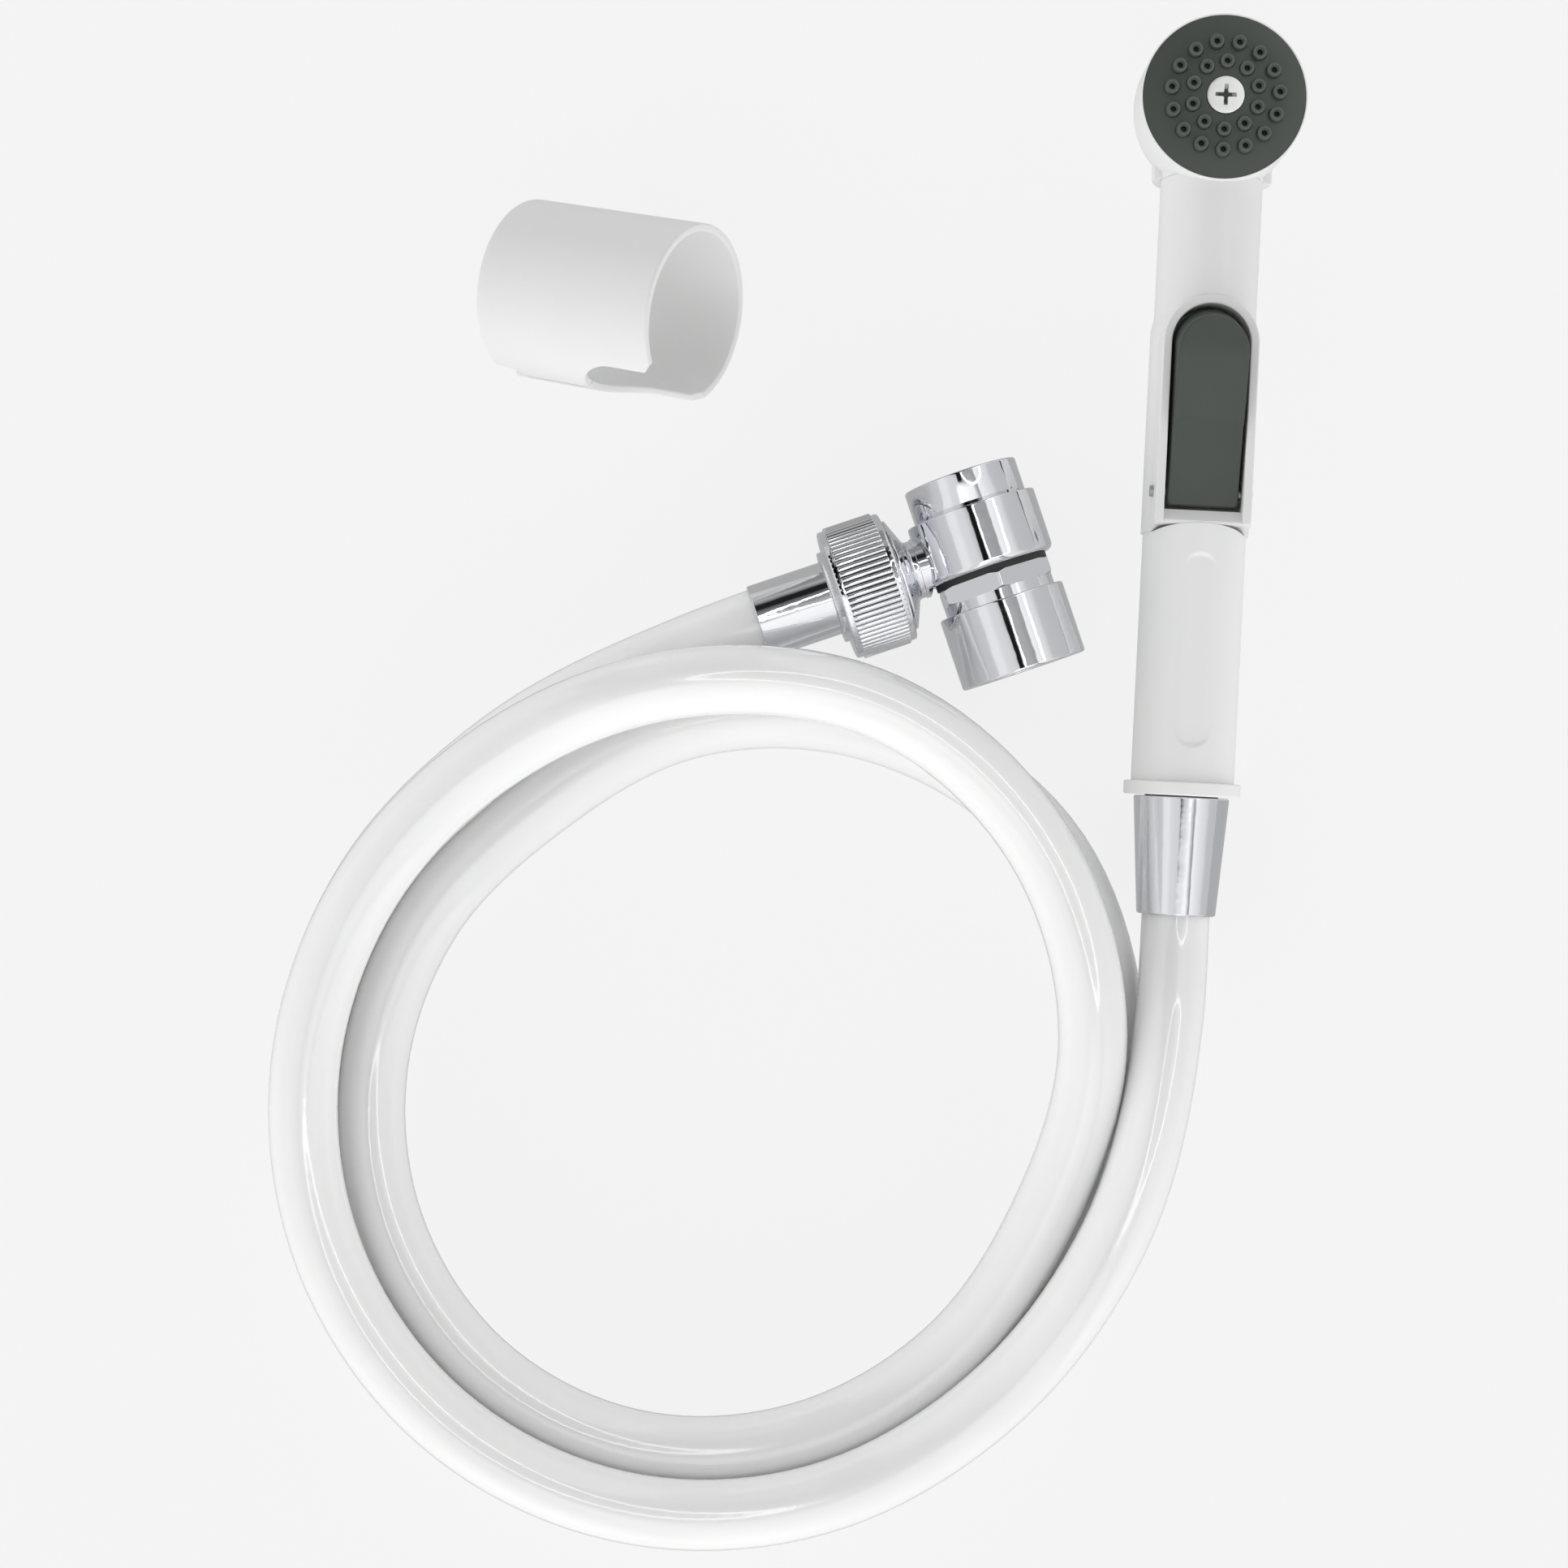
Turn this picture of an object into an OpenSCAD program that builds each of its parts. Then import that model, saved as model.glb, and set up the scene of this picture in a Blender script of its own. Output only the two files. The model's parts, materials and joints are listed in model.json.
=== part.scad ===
// Handheld bath sprayer: a trigger handset on a white hose, a chrome tap diverter
// and a loose holder sleeve, laid out flat on a bench. Millimetres, +Z up.
// The handset lies along +Y with its spray face up.

/* [Spray head] */
// Diameter of the head cup
head_d = 37.2; // [36.4:0.1:39]
// Distance from the upper tube's end to the centre of the head
head_reach = 16.4; // [16.3:0.1:18]
// Height of the spray face's rim above the handset's axis
face_height = 12.7; // [12.6:0.1:14]
// Thickness of the spray face plate at its rim
face_thickness = 0.9; // [0.8:0.05:1]
// How far the spray face domes up to its middle
face_dome = 1.5; // [1:0.1:2]
// Width of the white lip round the spray face
face_lip = 0.4; // [0.3:0.05:0.8]
// Thickness of the rubber nozzle mat
mat_thickness = 1.6; // [1.4:0.1:1.8]
// Wall between the water chamber and the outside of the cup
cup_wall = 3.4; // [3:0.1:4]
// Radius of the flat on the back of the cup
back_flat_r = 8; // [5:0.5:10]
// Radius of the boss that takes the face screw
screw_boss_r = 3.4; // [3:0.1:4]

/* [Nozzles] */
// Jets in the outer ring
outer_jets = 15; // [12:1:18]
// Jets in the inner ring
inner_jets = 10; // [8:1:12]
// Radius of the outer ring of jets
outer_ring_r = 12.1; // [11.8:0.1:12.8]
// Radius of the inner ring of jets
inner_ring_r = 7.6; // [7.2:0.1:8.2]
// Diameter of one rubber nozzle
nozzle_d = 3.3; // [2.4:0.1:3.5]
// How far the nozzles stand above the middle of the face
nozzle_stand = 0.8; // [0.4:0.1:1.2]
// Diameter of a jet
jet_d = 1.2; // [0.7:0.1:1.3]
// Diameter of the dished mouth of a nozzle
mouth_d = 1.7; // [1.4:0.1:2]
// Depth of the dished mouth of a nozzle
mouth_depth = 0.6; // [0.3:0.1:0.9]

/* [Face screw] */
// Diameter of the screw head
screw_head_d = 8.4; // [7:0.1:9]
// Height of the screw head
screw_head_h = 1.2; // [1:0.1:1.6]
// How far the screw head is sunk into the face
screw_sink = 0.8; // [0.4:0.1:1]
// Diameter of the screw's shank
screw_shank_d = 2.5; // [2:0.1:3]
// Length of the screw's shank
screw_shank_l = 12; // [8:0.5:13]
// Length of one arm of the cross recess, tip to tip
cross_l = 4.7; // [4:0.1:5.5]
// Width of one arm of the cross recess
cross_w = 0.9; // [0.7:0.1:1.2]
// Depth of the cross recess
cross_depth = 0.9; // [0.5:0.1:0.95]

/* [Neck] */
// Diameter of the upper tube
tube_d = 23; // [22:0.1:23.5]
// Distance from the end flange to the top of the upper tube
tube_end = 139.8; // [139:0.1:143]
// Diameter of the spigot that plugs into the head
spigot_d = 18.6; // [18.2:0.1:18.8]
// Length of the spigot
spigot_l = 6.6; // [6:0.1:7]
// Width over the two ears of the head's socket
ear_span = 27.2; // [26:0.1:27.8]
// Length of an ear along the handle
ear_l = 7; // [5:0.5:9]
// Height of an ear's upper face above the axis
ear_top = 1; // [0:0.1:4]
// Depth of an ear's lower face below the axis
ear_bottom = 10.5; // [7:0.5:11]

/* [Trigger housing] */
// Diameter of the round part of the trigger housing
housing_d = 24.3; // [24:0.1:24.8]
// Width of the flat frame round the paddle
frame_w = 21.6; // [21.2:0.1:22]
// Height of the frame's plane above the axis
frame_height = 11.8; // [11.7:0.1:12.2]
// Distance from the end flange to the foot of the housing
housing_foot = 59.4; // [58.8:0.1:60.2]
// Distance from the end flange to the top of the frame's arc
frame_top = 112.3; // [111.8:0.1:114]
// Width of the window in the frame
window_w = 17.6; // [17.4:0.1:18]
// Distance from the end flange to the window's lower edge
window_foot = 64.1; // [63.8:0.1:64.4]
// Height of the pocket's floor above the axis
pocket_floor = 2.2; // [1.8:0.1:2.4]
// Length of the sloped chin below the window
chin_l = 2.5; // [1.5:0.1:2.7]
// Depth of the sloped chin below the frame
chin_drop = 2.5; // [1:0.1:3]

/* [Paddle] */
// Width of the thumb paddle
paddle_w = 16.3; // [15.5:0.1:16.8]
// Distance from the end flange to the paddle's lower end
paddle_foot = 64.9; // [64.7:0.1:65.1]
// Distance from the end flange to the paddle's upper end
paddle_top = 109.5; // [109:0.1:109.7]
// Height of the paddle's underside above the axis
paddle_under = 7.3; // [7.2:0.1:7.6]
// Height of the paddle's crown above the axis
paddle_crown = 16.4; // [15:0.1:17]
// Distance from the end flange to the crease across the paddle
crease_at = 84.2; // [82:0.2:88]
// Height of the crease above the axis
crease_height = 12.6; // [12:0.1:13]
// Distance from the end flange to the pivot pin
pivot_at = 68.3; // [68:0.1:68.6]
// Height of the pivot pin above the axis
pivot_height = 6.5; // [6.2:0.1:6.8]
// Diameter of the pivot pin
pin_d = 2.6; // [2:0.1:3]
// How far the pin stands out of each side of the frame
pin_proud = 0.7; // [0.2:0.1:1]

/* [Water valve] */
// Distance from the end flange to the valve's axis
valve_at = 95.2; // [94.2:0.1:96]
// Diameter of the valve block
block_d = 12.9; // [12.4:0.1:13.4]
// Depth of the block's lower face below the axis
block_bottom = 10; // [9.8:0.1:10.2]
// Diameter of the chamber under the seat
chamber_d = 9.2; // [8.8:0.1:9.6]
// Diameter of the hole through the seat
seat_hole_d = 4.8; // [4.2:0.1:5.2]
// Depth of the seat's lower face below the axis
seat_depth = 3.6; // [3.5:0.1:3.7]
// Thickness of the seat
seat_thickness = 1; // [0.8:0.1:1.1]
// Diameter of the valve stem
stem_d = 3; // [2.6:0.1:3.2]
// Diameter of the seal and of the stem's flange
seal_d = 6.8; // [6.4:0.1:7.2]
// Thickness of the rubber seal
seal_thickness = 0.9; // [0.8:0.1:1]
// Wire diameter of the trigger spring
trigger_wire_d = 0.5; // [0.4:0.05:0.6]

/* [Grip] */
// Diameter of the grip sleeve
grip_d = 23.3; // [23:0.1:23.8]
// Wall of the grip sleeve
grip_wall = 2; // [1.6:0.1:2.2]
// Width of the thumb recess in the grip
recess_w = 7.8; // [6:0.1:9]
// Distance from the end flange to the recess's lower end
recess_foot = 11.2; // [10:0.1:16]
// Distance from the end flange to the recess's upper end
recess_top = 54.2; // [50:0.1:57]
// Depth of the recess at its middle
recess_depth = 0.75; // [0.4:0.05:1]
// Diameter of the end flange
flange_d = 26.4; // [26:0.1:27.4]
// Thickness of the end flange
flange_t = 3.1; // [2.5:0.1:4]
// Outer diameter of the inlet pipe
pipe_d = 14; // [13.6:0.1:14.4]
// Bore of the inlet pipe
pipe_bore = 9; // [8:0.1:10]
// Diameter of the threaded end of the inlet pipe
thread_d = 16.6; // [16.2:0.1:17]
// Length of the threaded end of the inlet pipe
thread_l = 12; // [11:0.5:12.5]

/* [Hose nut] */
// Length of the conical hose nut
nut_l = 26.8; // [25:0.1:28]
// Diameter of the nut beside the flange
nut_top_d = 21.6; // [21:0.1:22.4]
// Diameter of the nut at the hose
nut_end_d = 17.8; // [17.6:0.1:19]
// Rounding of the nut's lower edge
nut_round = 0.8; // [0.4:0.1:1]
// Thickness of a hose washer
washer_t = 0.8; // [0.6:0.1:1]
// Thickness of a hose tail's flange
tail_flange_t = 1.8; // [1.4:0.1:2]

/* [Hose] */
// Outer diameter of the hose
hose_d = 15.5; // [14.6:0.1:15.6]
// Diameter of the hose tails inside the hose
tail_d = 9.2; // [8:0.1:10]
// Bore of the hose tails
tail_bore = 6.4; // [5:0.1:7]
// How far a hose tail reaches into the hose
tail_l = 17; // [12:0.5:18]

/* [Diverter body] */
// Diameter of the diverter's body
body_d = 30; // [29:0.1:30.8]
// Distance from the side outlet's axis to the body's upper face
body_up = 9.1; // [8.8:0.1:9.6]
// Distance from the side outlet's axis to the body's lower face
body_down = 5.3; // [5.1:0.1:5.8]
// Rounding of the body's lower edge
body_round = 1.4; // [0.6:0.1:2]
// Diameter of the body's chamber
body_chamber_d = 18; // [17.6:0.1:18.4]
// Diameter of the boss round the side outlet
boss_d = 13.9; // [13.4:0.1:14]
// Reach of the boss from the main axis
boss_reach = 15.6; // [15.5:0.1:16]
// Diameter of the side outlet's neck
neck_d = 13.3; // [12.4:0.1:13.4]
// Reach of the neck from the main axis
neck_reach = 17.2; // [16.6:0.1:17.4]
// Diameter of the side outlet's flange
outlet_flange_d = 25.6; // [24:0.1:26.4]
// Reach of the side outlet's flange from the main axis
outlet_flange_reach = 20.3; // [20:0.1:20.3]
// Diameter of the side outlet's thread
outlet_thread_d = 20.8; // [20.4:0.1:21]
// Reach of the side outlet's thread from the main axis
outlet_thread_reach = 30; // [29:0.5:31]
// Bore of the side outlet
outlet_bore = 8.4; // [7:0.1:9]

/* [Inlet collar] */
// Diameter of the inlet collar
collar_d = 26.4; // [26:0.1:27]
// Height of the inlet collar
collar_l = 7.8; // [7.6:0.1:9]
// Diameter of the collar's thread for the tap
tap_thread_d = 22; // [21.6:0.1:22.4]
// Diameter of the collar's skirt inside the body
skirt_d = 23.8; // [23.4:0.1:24.2]
// Length of the collar's skirt inside the body
skirt_l = 3.8; // [3.6:0.1:4]
// Width over the collar's two wrench flats
flats_w = 25.8; // [25.4:0.1:26]

/* [Spout] */
// Thickness of the rubber gasket under the body
gasket_t = 1.3; // [1:0.1:1.6]
// Diameter of the rubber gasket under the body
gasket_d = 26; // [24:0.1:26.6]
// Width over the hexagon's corners
hex_w = 28.3; // [27.6:0.1:29]
// Height of the hexagon
hex_l = 4; // [3:0.1:5]
// Length of the guide
guide_l = 15; // [14:0.1:16]
// Bore of the spout
spout_bore = 14; // [13:0.1:15]
// Length of guide that shows above the pull ring
groove_l = 2.3; // [1.5:0.1:3]
// Diameter of the pull ring
ring_d = 29; // [28.4:0.1:30]
// Wall of the pull ring round the guide that it slides on
ring_wall = 1.7; // [1.4:0.1:2]
// Length of the pull ring
ring_l = 16.7; // [16.4:0.1:18]
// Wire diameter of the diverter spring
diverter_wire_d = 1; // [0.8:0.1:1.2]

/* [Knurled nut] */
// Diameter of the knurled nut
knurl_d = 31; // [30.2:0.1:32]
// Length of the knurled nut
knurl_nut_l = 14.4; // [14.2:0.1:16]
// Length of each polished end band
band_l = 1.5; // [1:0.1:3]
// Diameter of the polished end bands
band_d = 29.8; // [29:0.1:31]
// Ridges round the nut
ridges = 72; // [48:4:96]
// Depth of the grooves between ridges
ridge_depth = 0.8; // [0.3:0.1:1]
// Diameter of the hub at the hose side
hub_d = 21.2; // [20:0.1:22]
// Length of the hub at the hose side
hub_l = 1.4; // [1:0.1:2]
// Diameter of the hose ferrule
ferrule_d = 17; // [16.8:0.1:17.4]
// Length of ferrule that shows beyond the hub
ferrule_shown = 17.4; // [14:0.1:20]

/* [Holder sleeve] */
// Outer diameter of the holder sleeve
sleeve_d = 39.6; // [38:0.1:44]
// Wall of the holder sleeve
sleeve_wall = 1.7; // [1.4:0.1:3]
// Length of the holder sleeve
sleeve_l = 44.8; // [40:0.1:50]
// Width of the sleeve's front slot, which the hose passes through
slot_w = 21; // [17:0.5:22]
// Width of the front slot's flared mouth
slot_mouth_w = 26; // [23:0.5:28]
// Length of the front slot
front_slot_l = 21.4; // [18:0.1:24]
// Width of the rear slot
rear_slot_w = 8.2; // [6:0.1:10]
// Length of the rear slot
rear_slot_l = 5.8; // [5:0.1:9]
// Angle of the slots above the horizontal
slot_angle = 2; // [0:1:40]
// How far the sleeve's mouth is tipped up
sleeve_tilt = 27.7; // [0:0.1:40]

/* [Layout] */
// Mean radius of the hose's coil
coil_r = 92.5; // [91:0.5:94]
// Sideways place of the handset's axis
handset_x = 72; // [60:0.5:90]
// Place of the end flange along the handset's axis
handset_y = -73.2; // [-80:0.1:-60]
// Sideways place of the diverter
diverter_x = 23.85; // [15:0.05:30]
// Lengthwise place of the diverter
diverter_y = -19.1; // [-22:0.1:0]
// Turn of the diverter about the vertical
diverter_turn = 21.3; // [15:0.1:30]
// Sideways place of the sleeve's rear end
sleeve_x = -81.7; // [-95:0.1:-70]
// Lengthwise place of the sleeve's rear end
sleeve_y = 34.2; // [20:0.1:50]
// Turn of the sleeve about the vertical
sleeve_turn = -11.7; // [-30:0.1:10]

/* [Clearances] */
// Radial clearance of a running fit
run_gap = 0.05; // [0.02:0.01:0.08]
// Clearance between a turning face and its neighbour
face_gap = 0.3; // [0.1:0.05:0.4]
// Travel of the pull ring
ring_travel = 4; // [3:0.1:4.2]

/* [Hidden] */
$fn = 72;
through = 1;
head_r = head_d / 2;
tube_r = tube_d / 2;
spigot_r = spigot_d / 2;
housing_r = housing_d / 2;
grip_r = grip_d / 2;
grip_bore_r = grip_r - grip_wall;
flange_r = flange_d / 2;
axis_height = flange_r;
pipe_r = pipe_d / 2;
pipe_setback = 2;
pipe_end = housing_foot - pipe_setback;
tail_plug_l = 14;
plenum_l = 2.5;
plenum_r = pipe_r;

// Spray head
head_centre = tube_end + head_reach;
face_r = head_r - face_lip;
face_seat = face_height - face_thickness;
mat_seat = face_seat - mat_thickness;
chamber_r = head_r - cup_wall;
mat_r = chamber_r - 0.2;
gasket_wall = 2.3;
gasket_bore_r = head_r - gasket_wall;
gasket_section = (gasket_bore_r - mat_r) / 2 - run_gap;
gasket_ring_r = (gasket_bore_r + mat_r) / 2;
shoulder = 1;
chamber_floor = -7;
back_steps = 12;
nozzle_r = nozzle_d / 2;
face_top = face_height + face_dome;
face_steps = 8;
face_edge = 0.2;
nozzle_top = face_top + nozzle_stand;
shank_r = screw_shank_d / 2;
screw_seat = face_top - screw_sink;
o_ring_r = 0.5;
o_ring_groove = 1.6;
neck_ring_at = tube_end + spigot_l / 2;
neck_bore_r = 7.5;

// Trigger housing
window_r = window_w / 2;
frame_r = frame_w / 2;
wall_top = (frame_w - window_w) / 2;
window_top = frame_top - wall_top;
housing_top = 104.8;
housing_blend = 4;
foot_flat = 0.3;
foot_drop = 6.1;
slope_top = window_foot - chin_l - foot_flat;
paddle_r = paddle_w / 2;
pin_r = pin_d / 2;
pin_half_l = frame_r + pin_proud;
pivot_boss_r = 2.3;
end_rise = 2.6;
crown_at = 106.7;
crown_start = 100.5;
shoulder_drop = 7;

// Water valve
block_r = block_d / 2;
guide_floor = 0;
stem_r = stem_d / 2;
stem_top = paddle_under - face_gap;
seal_top = -seat_depth - run_gap;
flange_top = seal_top - seal_thickness;
stem_flange_t = 0.4;
stem_foot = flange_top - stem_flange_t;
stem_ring_at = 1.1;
stem_ring_r = 0.38;
inlet_port_r = 2;
inlet_port_z = -6;
outlet_port_r = 1.2;
outlet_port_z = -1.25;
upper_bore_foot = 117;

// Hose nut and tails
nut_top = -face_gap;
nut_foot = nut_top - nut_l;
nut_bore_r = thread_d / 2 + run_gap;
washer_foot = -thread_l - washer_t;
tail_foot = washer_foot - tail_flange_t;
nut_shoulder = tail_foot - face_gap;
tail_flange_r = nut_bore_r - 0.15;
hose_hole_r = hose_d / 2 + 0.25;

// Diverter
body_r = body_d / 2;
collar_foot = body_up + 0.1;
collar_top = collar_foot + collar_l;
collar_r = collar_d / 2;
skirt_r = skirt_d / 2;
skirt_foot = collar_foot - skirt_l;
body_counterbore = skirt_foot - face_gap;
tap_thread_r = tap_thread_d / 2;
tap_thread_foot = collar_foot + 0.2;
floor_t = 1;
washer_seat = skirt_foot + floor_t;
washer_inset = 1.4;
washer_r = tap_thread_r - washer_inset;
washer_w = 2;
inlet_hole_r = washer_r - washer_w;
screen_t = 0.6;
clip_section = 0.425;
clip_rise = 1.6;
clip_at = skirt_foot + clip_rise;
gasket_foot = -body_down - gasket_t;
hex_foot = gasket_foot - hex_l;
guide_foot = hex_foot - guide_l;
guide_r = ring_d / 2 - ring_wall - run_gap;
nipple_top = 2.4 - body_down;
nipple_r = body_chamber_d / 2 - 0.1;
ledge_t = 2;
ledge_top = guide_foot + ledge_t + 1;
ledge_hole_r = 3.5;
ring_top = hex_foot - groove_l;
ring_foot = ring_top - ring_l;
ring_r = ring_d / 2;
ring_bore_r = guide_r + run_gap;
shelf_top = guide_foot - 1.2;
shelf_t = 1;
shelf_hole_r = ring_bore_r - 2;
aerator_r = ring_bore_r - 1;
aerator_top = shelf_top - shelf_t;
spider_t = 0.9;
rod_r = 1.6;
piston_top = body_up - 5.7;
piston_t = 1.2;
piston_r = 7.8;
spool_seal_t = 1;
spool_seal_r = 8.2;
spring_plate_top = 1.3 - body_down;
spring_plate_t = 0.8;
spring_plate_r = 5.8;
guide_ring_rise = 6;
guide_ring_at = guide_foot + guide_ring_rise;
guide_ring_r = 0.4;

// Side outlet
knurl_r = knurl_d / 2;
knurl_start = outlet_flange_reach + face_gap;
knurl_end = knurl_start + knurl_nut_l;
knurl_bore_r = outlet_thread_d / 2 + run_gap;
sink_washer_end = outlet_thread_reach + washer_t;
sink_tail_end = sink_washer_end + tail_flange_t;
knurl_shoulder = sink_tail_end + face_gap;
ferrule_r = ferrule_d / 2;
ferrule_hole_r = ferrule_r + 0.3;
ferrule_end = knurl_end + hub_l + ferrule_shown;
ferrule_wall_r = hose_d / 2 + 0.1;
sink_tail_r = knurl_bore_r - 0.2;
diverter_height = knurl_r;

// Holder sleeve
sleeve_r = sleeve_d / 2;
sleeve_bore_r = sleeve_r - sleeve_wall;
flare_l = 2.2;

// Hose route: two points on the handset's axis, then for each thirteenth of a turn
// round the coil's centre how far the hose strays outward from the mean radius, and
// its height, then two points on the side outlet's axis.
hose_start = [[72, -89.2, 13.2], [72, -102.2, 13.25]];
hose_finish = [[-26.4, -38.7, 15.4], [-16.2, -34.7, 15.5]];
coil_centre = [-33.7, -146.5];
coil_stations = 13;
coil_first_bearing = 12;
coil_stops = [
    [14.1, 20.2], [4.8, 25], [1.1, 24.2], [0.5, 24.6], [-0.1, 25.2], [-0.9, 24.5],
    [-2.3, 23.9], [-3.6, 23.8], [-4, 24.2], [-2.9, 25.2], [0.7, 28], [4.4, 26],
    [2.2, 24], [-3.6, 23.9], [-10.6, 18.4], [-11.3, 14.6], [-11.4, 14.2], [-11.4, 14.1],
    [-12.6, 13.1], [-14.7, 10.8], [-16.7, 8.4], [-17.8, 8.1], [-17.1, 8.1], [-8.4, 8.1],
    [-0.3, 8.1], [5.3, 8.1], [2.8, 8.1], [1.5, 8.1], [3.3, 8.1], [3.5, 8.1],
    [3.6, 8.1], [2.4, 8.1], [1.3, 8.1], [-0.9, 8.1], [-1.8, 8.3], [-0.5, 9.7],
    [8.8, 13]
];
hose_sides = 12;
rings_per_span = 2;

// ---- Shared shapes ----

module rod_y(r, from, to) {
    translate([0, from, 0]) rotate([-90, 0, 0]) cylinder(r = r, h = to - from);
}

module tube_y(r, bore, from, to) {
    difference() {
        rod_y(r, from, to);
        rod_y(bore, from - through, to + through);
    }
}

module rod_x(r, from, to) {
    translate([-to, 0, 0]) rotate([0, 90, 0]) cylinder(r = r, h = to - from);
}

module tube_x(r, bore, from, to) {
    difference() {
        rod_x(r, from, to);
        rod_x(bore, from - through, to + through);
    }
}

module rod_z(r, from, to) {
    translate([0, 0, from]) cylinder(r = r, h = to - from);
}

module o_ring(ring_r, section_r) {
    rotate_extrude() translate([ring_r, 0]) circle(r = section_r, $fn = 24);
}

// An arch seen from above: straight sides from foot to top, with a round top end.
module arch(r, foot, top, from, to) {
    translate([0, 0, from]) linear_extrude(to - from) union() {
        translate([-r, foot]) square([2 * r, top - r - foot]);
        translate([0, top - r]) circle(r = r);
    }
}

// A solid with the given outline seen from the side, in length and height.
module side_prism(half_w, outline) {
    translate([-half_w, 0, 0]) rotate([90, 0, 90]) linear_extrude(2 * half_w) polygon(outline);
}

module in_handset() {
    translate([handset_x, handset_y, axis_height]) children();
}

module in_head() {
    in_handset() translate([0, head_centre, 0]) children();
}

module in_valve() {
    in_handset() translate([0, valve_at, 0]) children();
}

// In the diverter +Y points to the tap and -X to the hose.
module in_diverter() {
    translate([diverter_x, diverter_y, diverter_height]) rotate([0, 0, diverter_turn]) children();
}

// Points of a helix about +Z, and the closed tube of wire that follows it.
function helix(r, from, to, turns, steps) = [
    for (i = [0 : turns * steps])
        [r * cos(i * 360 / steps), r * sin(i * 360 / steps),
         from + (to - from) * i / (turns * steps)]
];

function unit(v) = v / norm(v);

// Direction of a line of points at one of them: nearer neighbours count for more.
function heading(line, i) =
    let (last = len(line) - 1,
         before = line[i] - line[max(i - 1, 0)],
         after = line[min(i + 1, last)] - line[i])
    i == 0 ? unit(after)
    : i == last ? unit(before)
    : unit(before / pow(norm(before), 2) + after / pow(norm(after), 2));

// A smooth curve through the points, with n steps in each span.
function smooth(line, n) = [
    for (i = [0 : len(line) - 2], k = [0 : n - 1])
        let (t = k / n,
             span = norm(line[i + 1] - line[i]),
             a = line[i],
             b = line[i + 1],
             u = heading(line, i) * span,
             v = heading(line, i + 1) * span)
        a * (2 * pow(t, 3) - 3 * pow(t, 2) + 1) + u * (pow(t, 3) - 2 * pow(t, 2) + t)
        + b * (3 * pow(t, 2) - 2 * pow(t, 3)) + v * (pow(t, 3) - pow(t, 2)),
    line[len(line) - 1]
];

// A closed round tube along a line that never runs straight up.
module swept_tube(line, r, sides) {
    count = len(line);
    points = [
        for (i = [0 : count - 1])
            let (ahead = heading(line, i),
                 across = unit(cross(ahead, [0, 0, 1])),
                 over = cross(across, ahead))
            for (k = [0 : sides - 1])
                line[i] + r * (cos(k * 360 / sides) * across + sin(k * 360 / sides) * over)
    ];
    sides_faces = [
        for (i = [0 : count - 2], k = [0 : sides - 1])
            let (a = i * sides + k,
                 b = i * sides + (k + 1) % sides)
            for (face = [[a, b, b + sides], [a, b + sides, a + sides]]) face
    ];
    start_face = [for (k = [sides - 1 : -1 : 0]) k];
    end_face = [for (k = [0 : sides - 1]) (count - 1) * sides + k];
    polyhedron(points, concat([start_face], sides_faces, [end_face]));
}

module coil_spring(r, wire_r, from, to, turns) {
    swept_tube(helix(r, from + wire_r, to - wire_r, turns, 16), wire_r, 8);
}

// ---- Spray head ----

// Outline of the cup in radius and height: flat back, rounded shoulder, straight rim.
function cup_outline() = concat(
    [[0, -axis_height]],
    [
        for (i = [0 : back_steps])
            let (a = 90 - i * 90 / back_steps)
            [back_flat_r + (head_r - back_flat_r) * cos(a),
             shoulder - (axis_height + shoulder) * sin(a)]
    ],
    [[head_r, face_height], [0, face_height]]
);

module jets(r, from, to) {
    for (i = [0 : outer_jets - 1])
        rotate([0, 0, (i + 0.5) * 360 / outer_jets])
            translate([0, outer_ring_r, 0]) rod_z(r, from, to);
    for (i = [0 : inner_jets - 1])
        rotate([0, 0, i * 360 / inner_jets])
            translate([0, inner_ring_r, 0]) rod_z(r, from, to);
}

module neck_boss() {
    translate([0, -head_centre, 0]) rod_y(tube_r, tube_end, tube_end + spigot_l + 1);
}

module ears() {
    translate([0, tube_end - head_centre, 0]) intersection() {
        rod_y(ear_span / 2, 0, ear_l);
        translate([-ear_span, 0, -ear_bottom])
            cube([2 * ear_span, ear_l, ear_bottom + ear_top]);
    }
}

module head_housing() {
    color("white") in_head() difference() {
        union() {
            rotate_extrude() polygon(cup_outline());
            translate([0, -head_centre, 0]) rod_y(tube_r, tube_end, head_centre - chamber_r);
            ears();
        }
        difference() {
            rod_z(chamber_r, chamber_floor, mat_seat + through);
            neck_boss();
            rod_z(screw_boss_r, chamber_floor - through, mat_seat);
        }
        rod_z(gasket_bore_r, mat_seat, face_height);
        rod_z(face_r + run_gap, face_seat, face_height + through);
        rod_z(shank_r, screw_seat - screw_shank_l, face_height);
        translate([0, -head_centre, 0])
            rod_y(tube_r + run_gap, head_centre - head_r - through, tube_end);
        translate([0, -head_centre, 0])
            rod_y(spigot_r + run_gap, tube_end - through, tube_end + spigot_l);
        translate([0, -head_centre, 0])
            rod_y(neck_bore_r, tube_end, tube_end + spigot_l + 2);
    }
}

// Outline of the face plate in radius and height: a low dome on a thin rim.
function face_outline() = concat(
    [[0, face_seat], [face_r, face_seat], [face_r, face_height - face_edge]],
    [
        for (i = [0 : face_steps])
            let (out = 1 - i / face_steps)
            [(face_r - face_edge) * out, face_height + face_dome * (1 - pow(out, 2))]
    ]
);

module spray_face() {
    color("#484e49") in_head() difference() {
        rotate_extrude() polygon(face_outline());
        jets(nozzle_r + run_gap / 2, face_seat - through, face_top + through);
        rod_z(shank_r + run_gap, face_seat - through, face_top);
        rod_z(screw_head_d / 2 + run_gap, screw_seat, face_top + through);
    }
}

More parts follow.
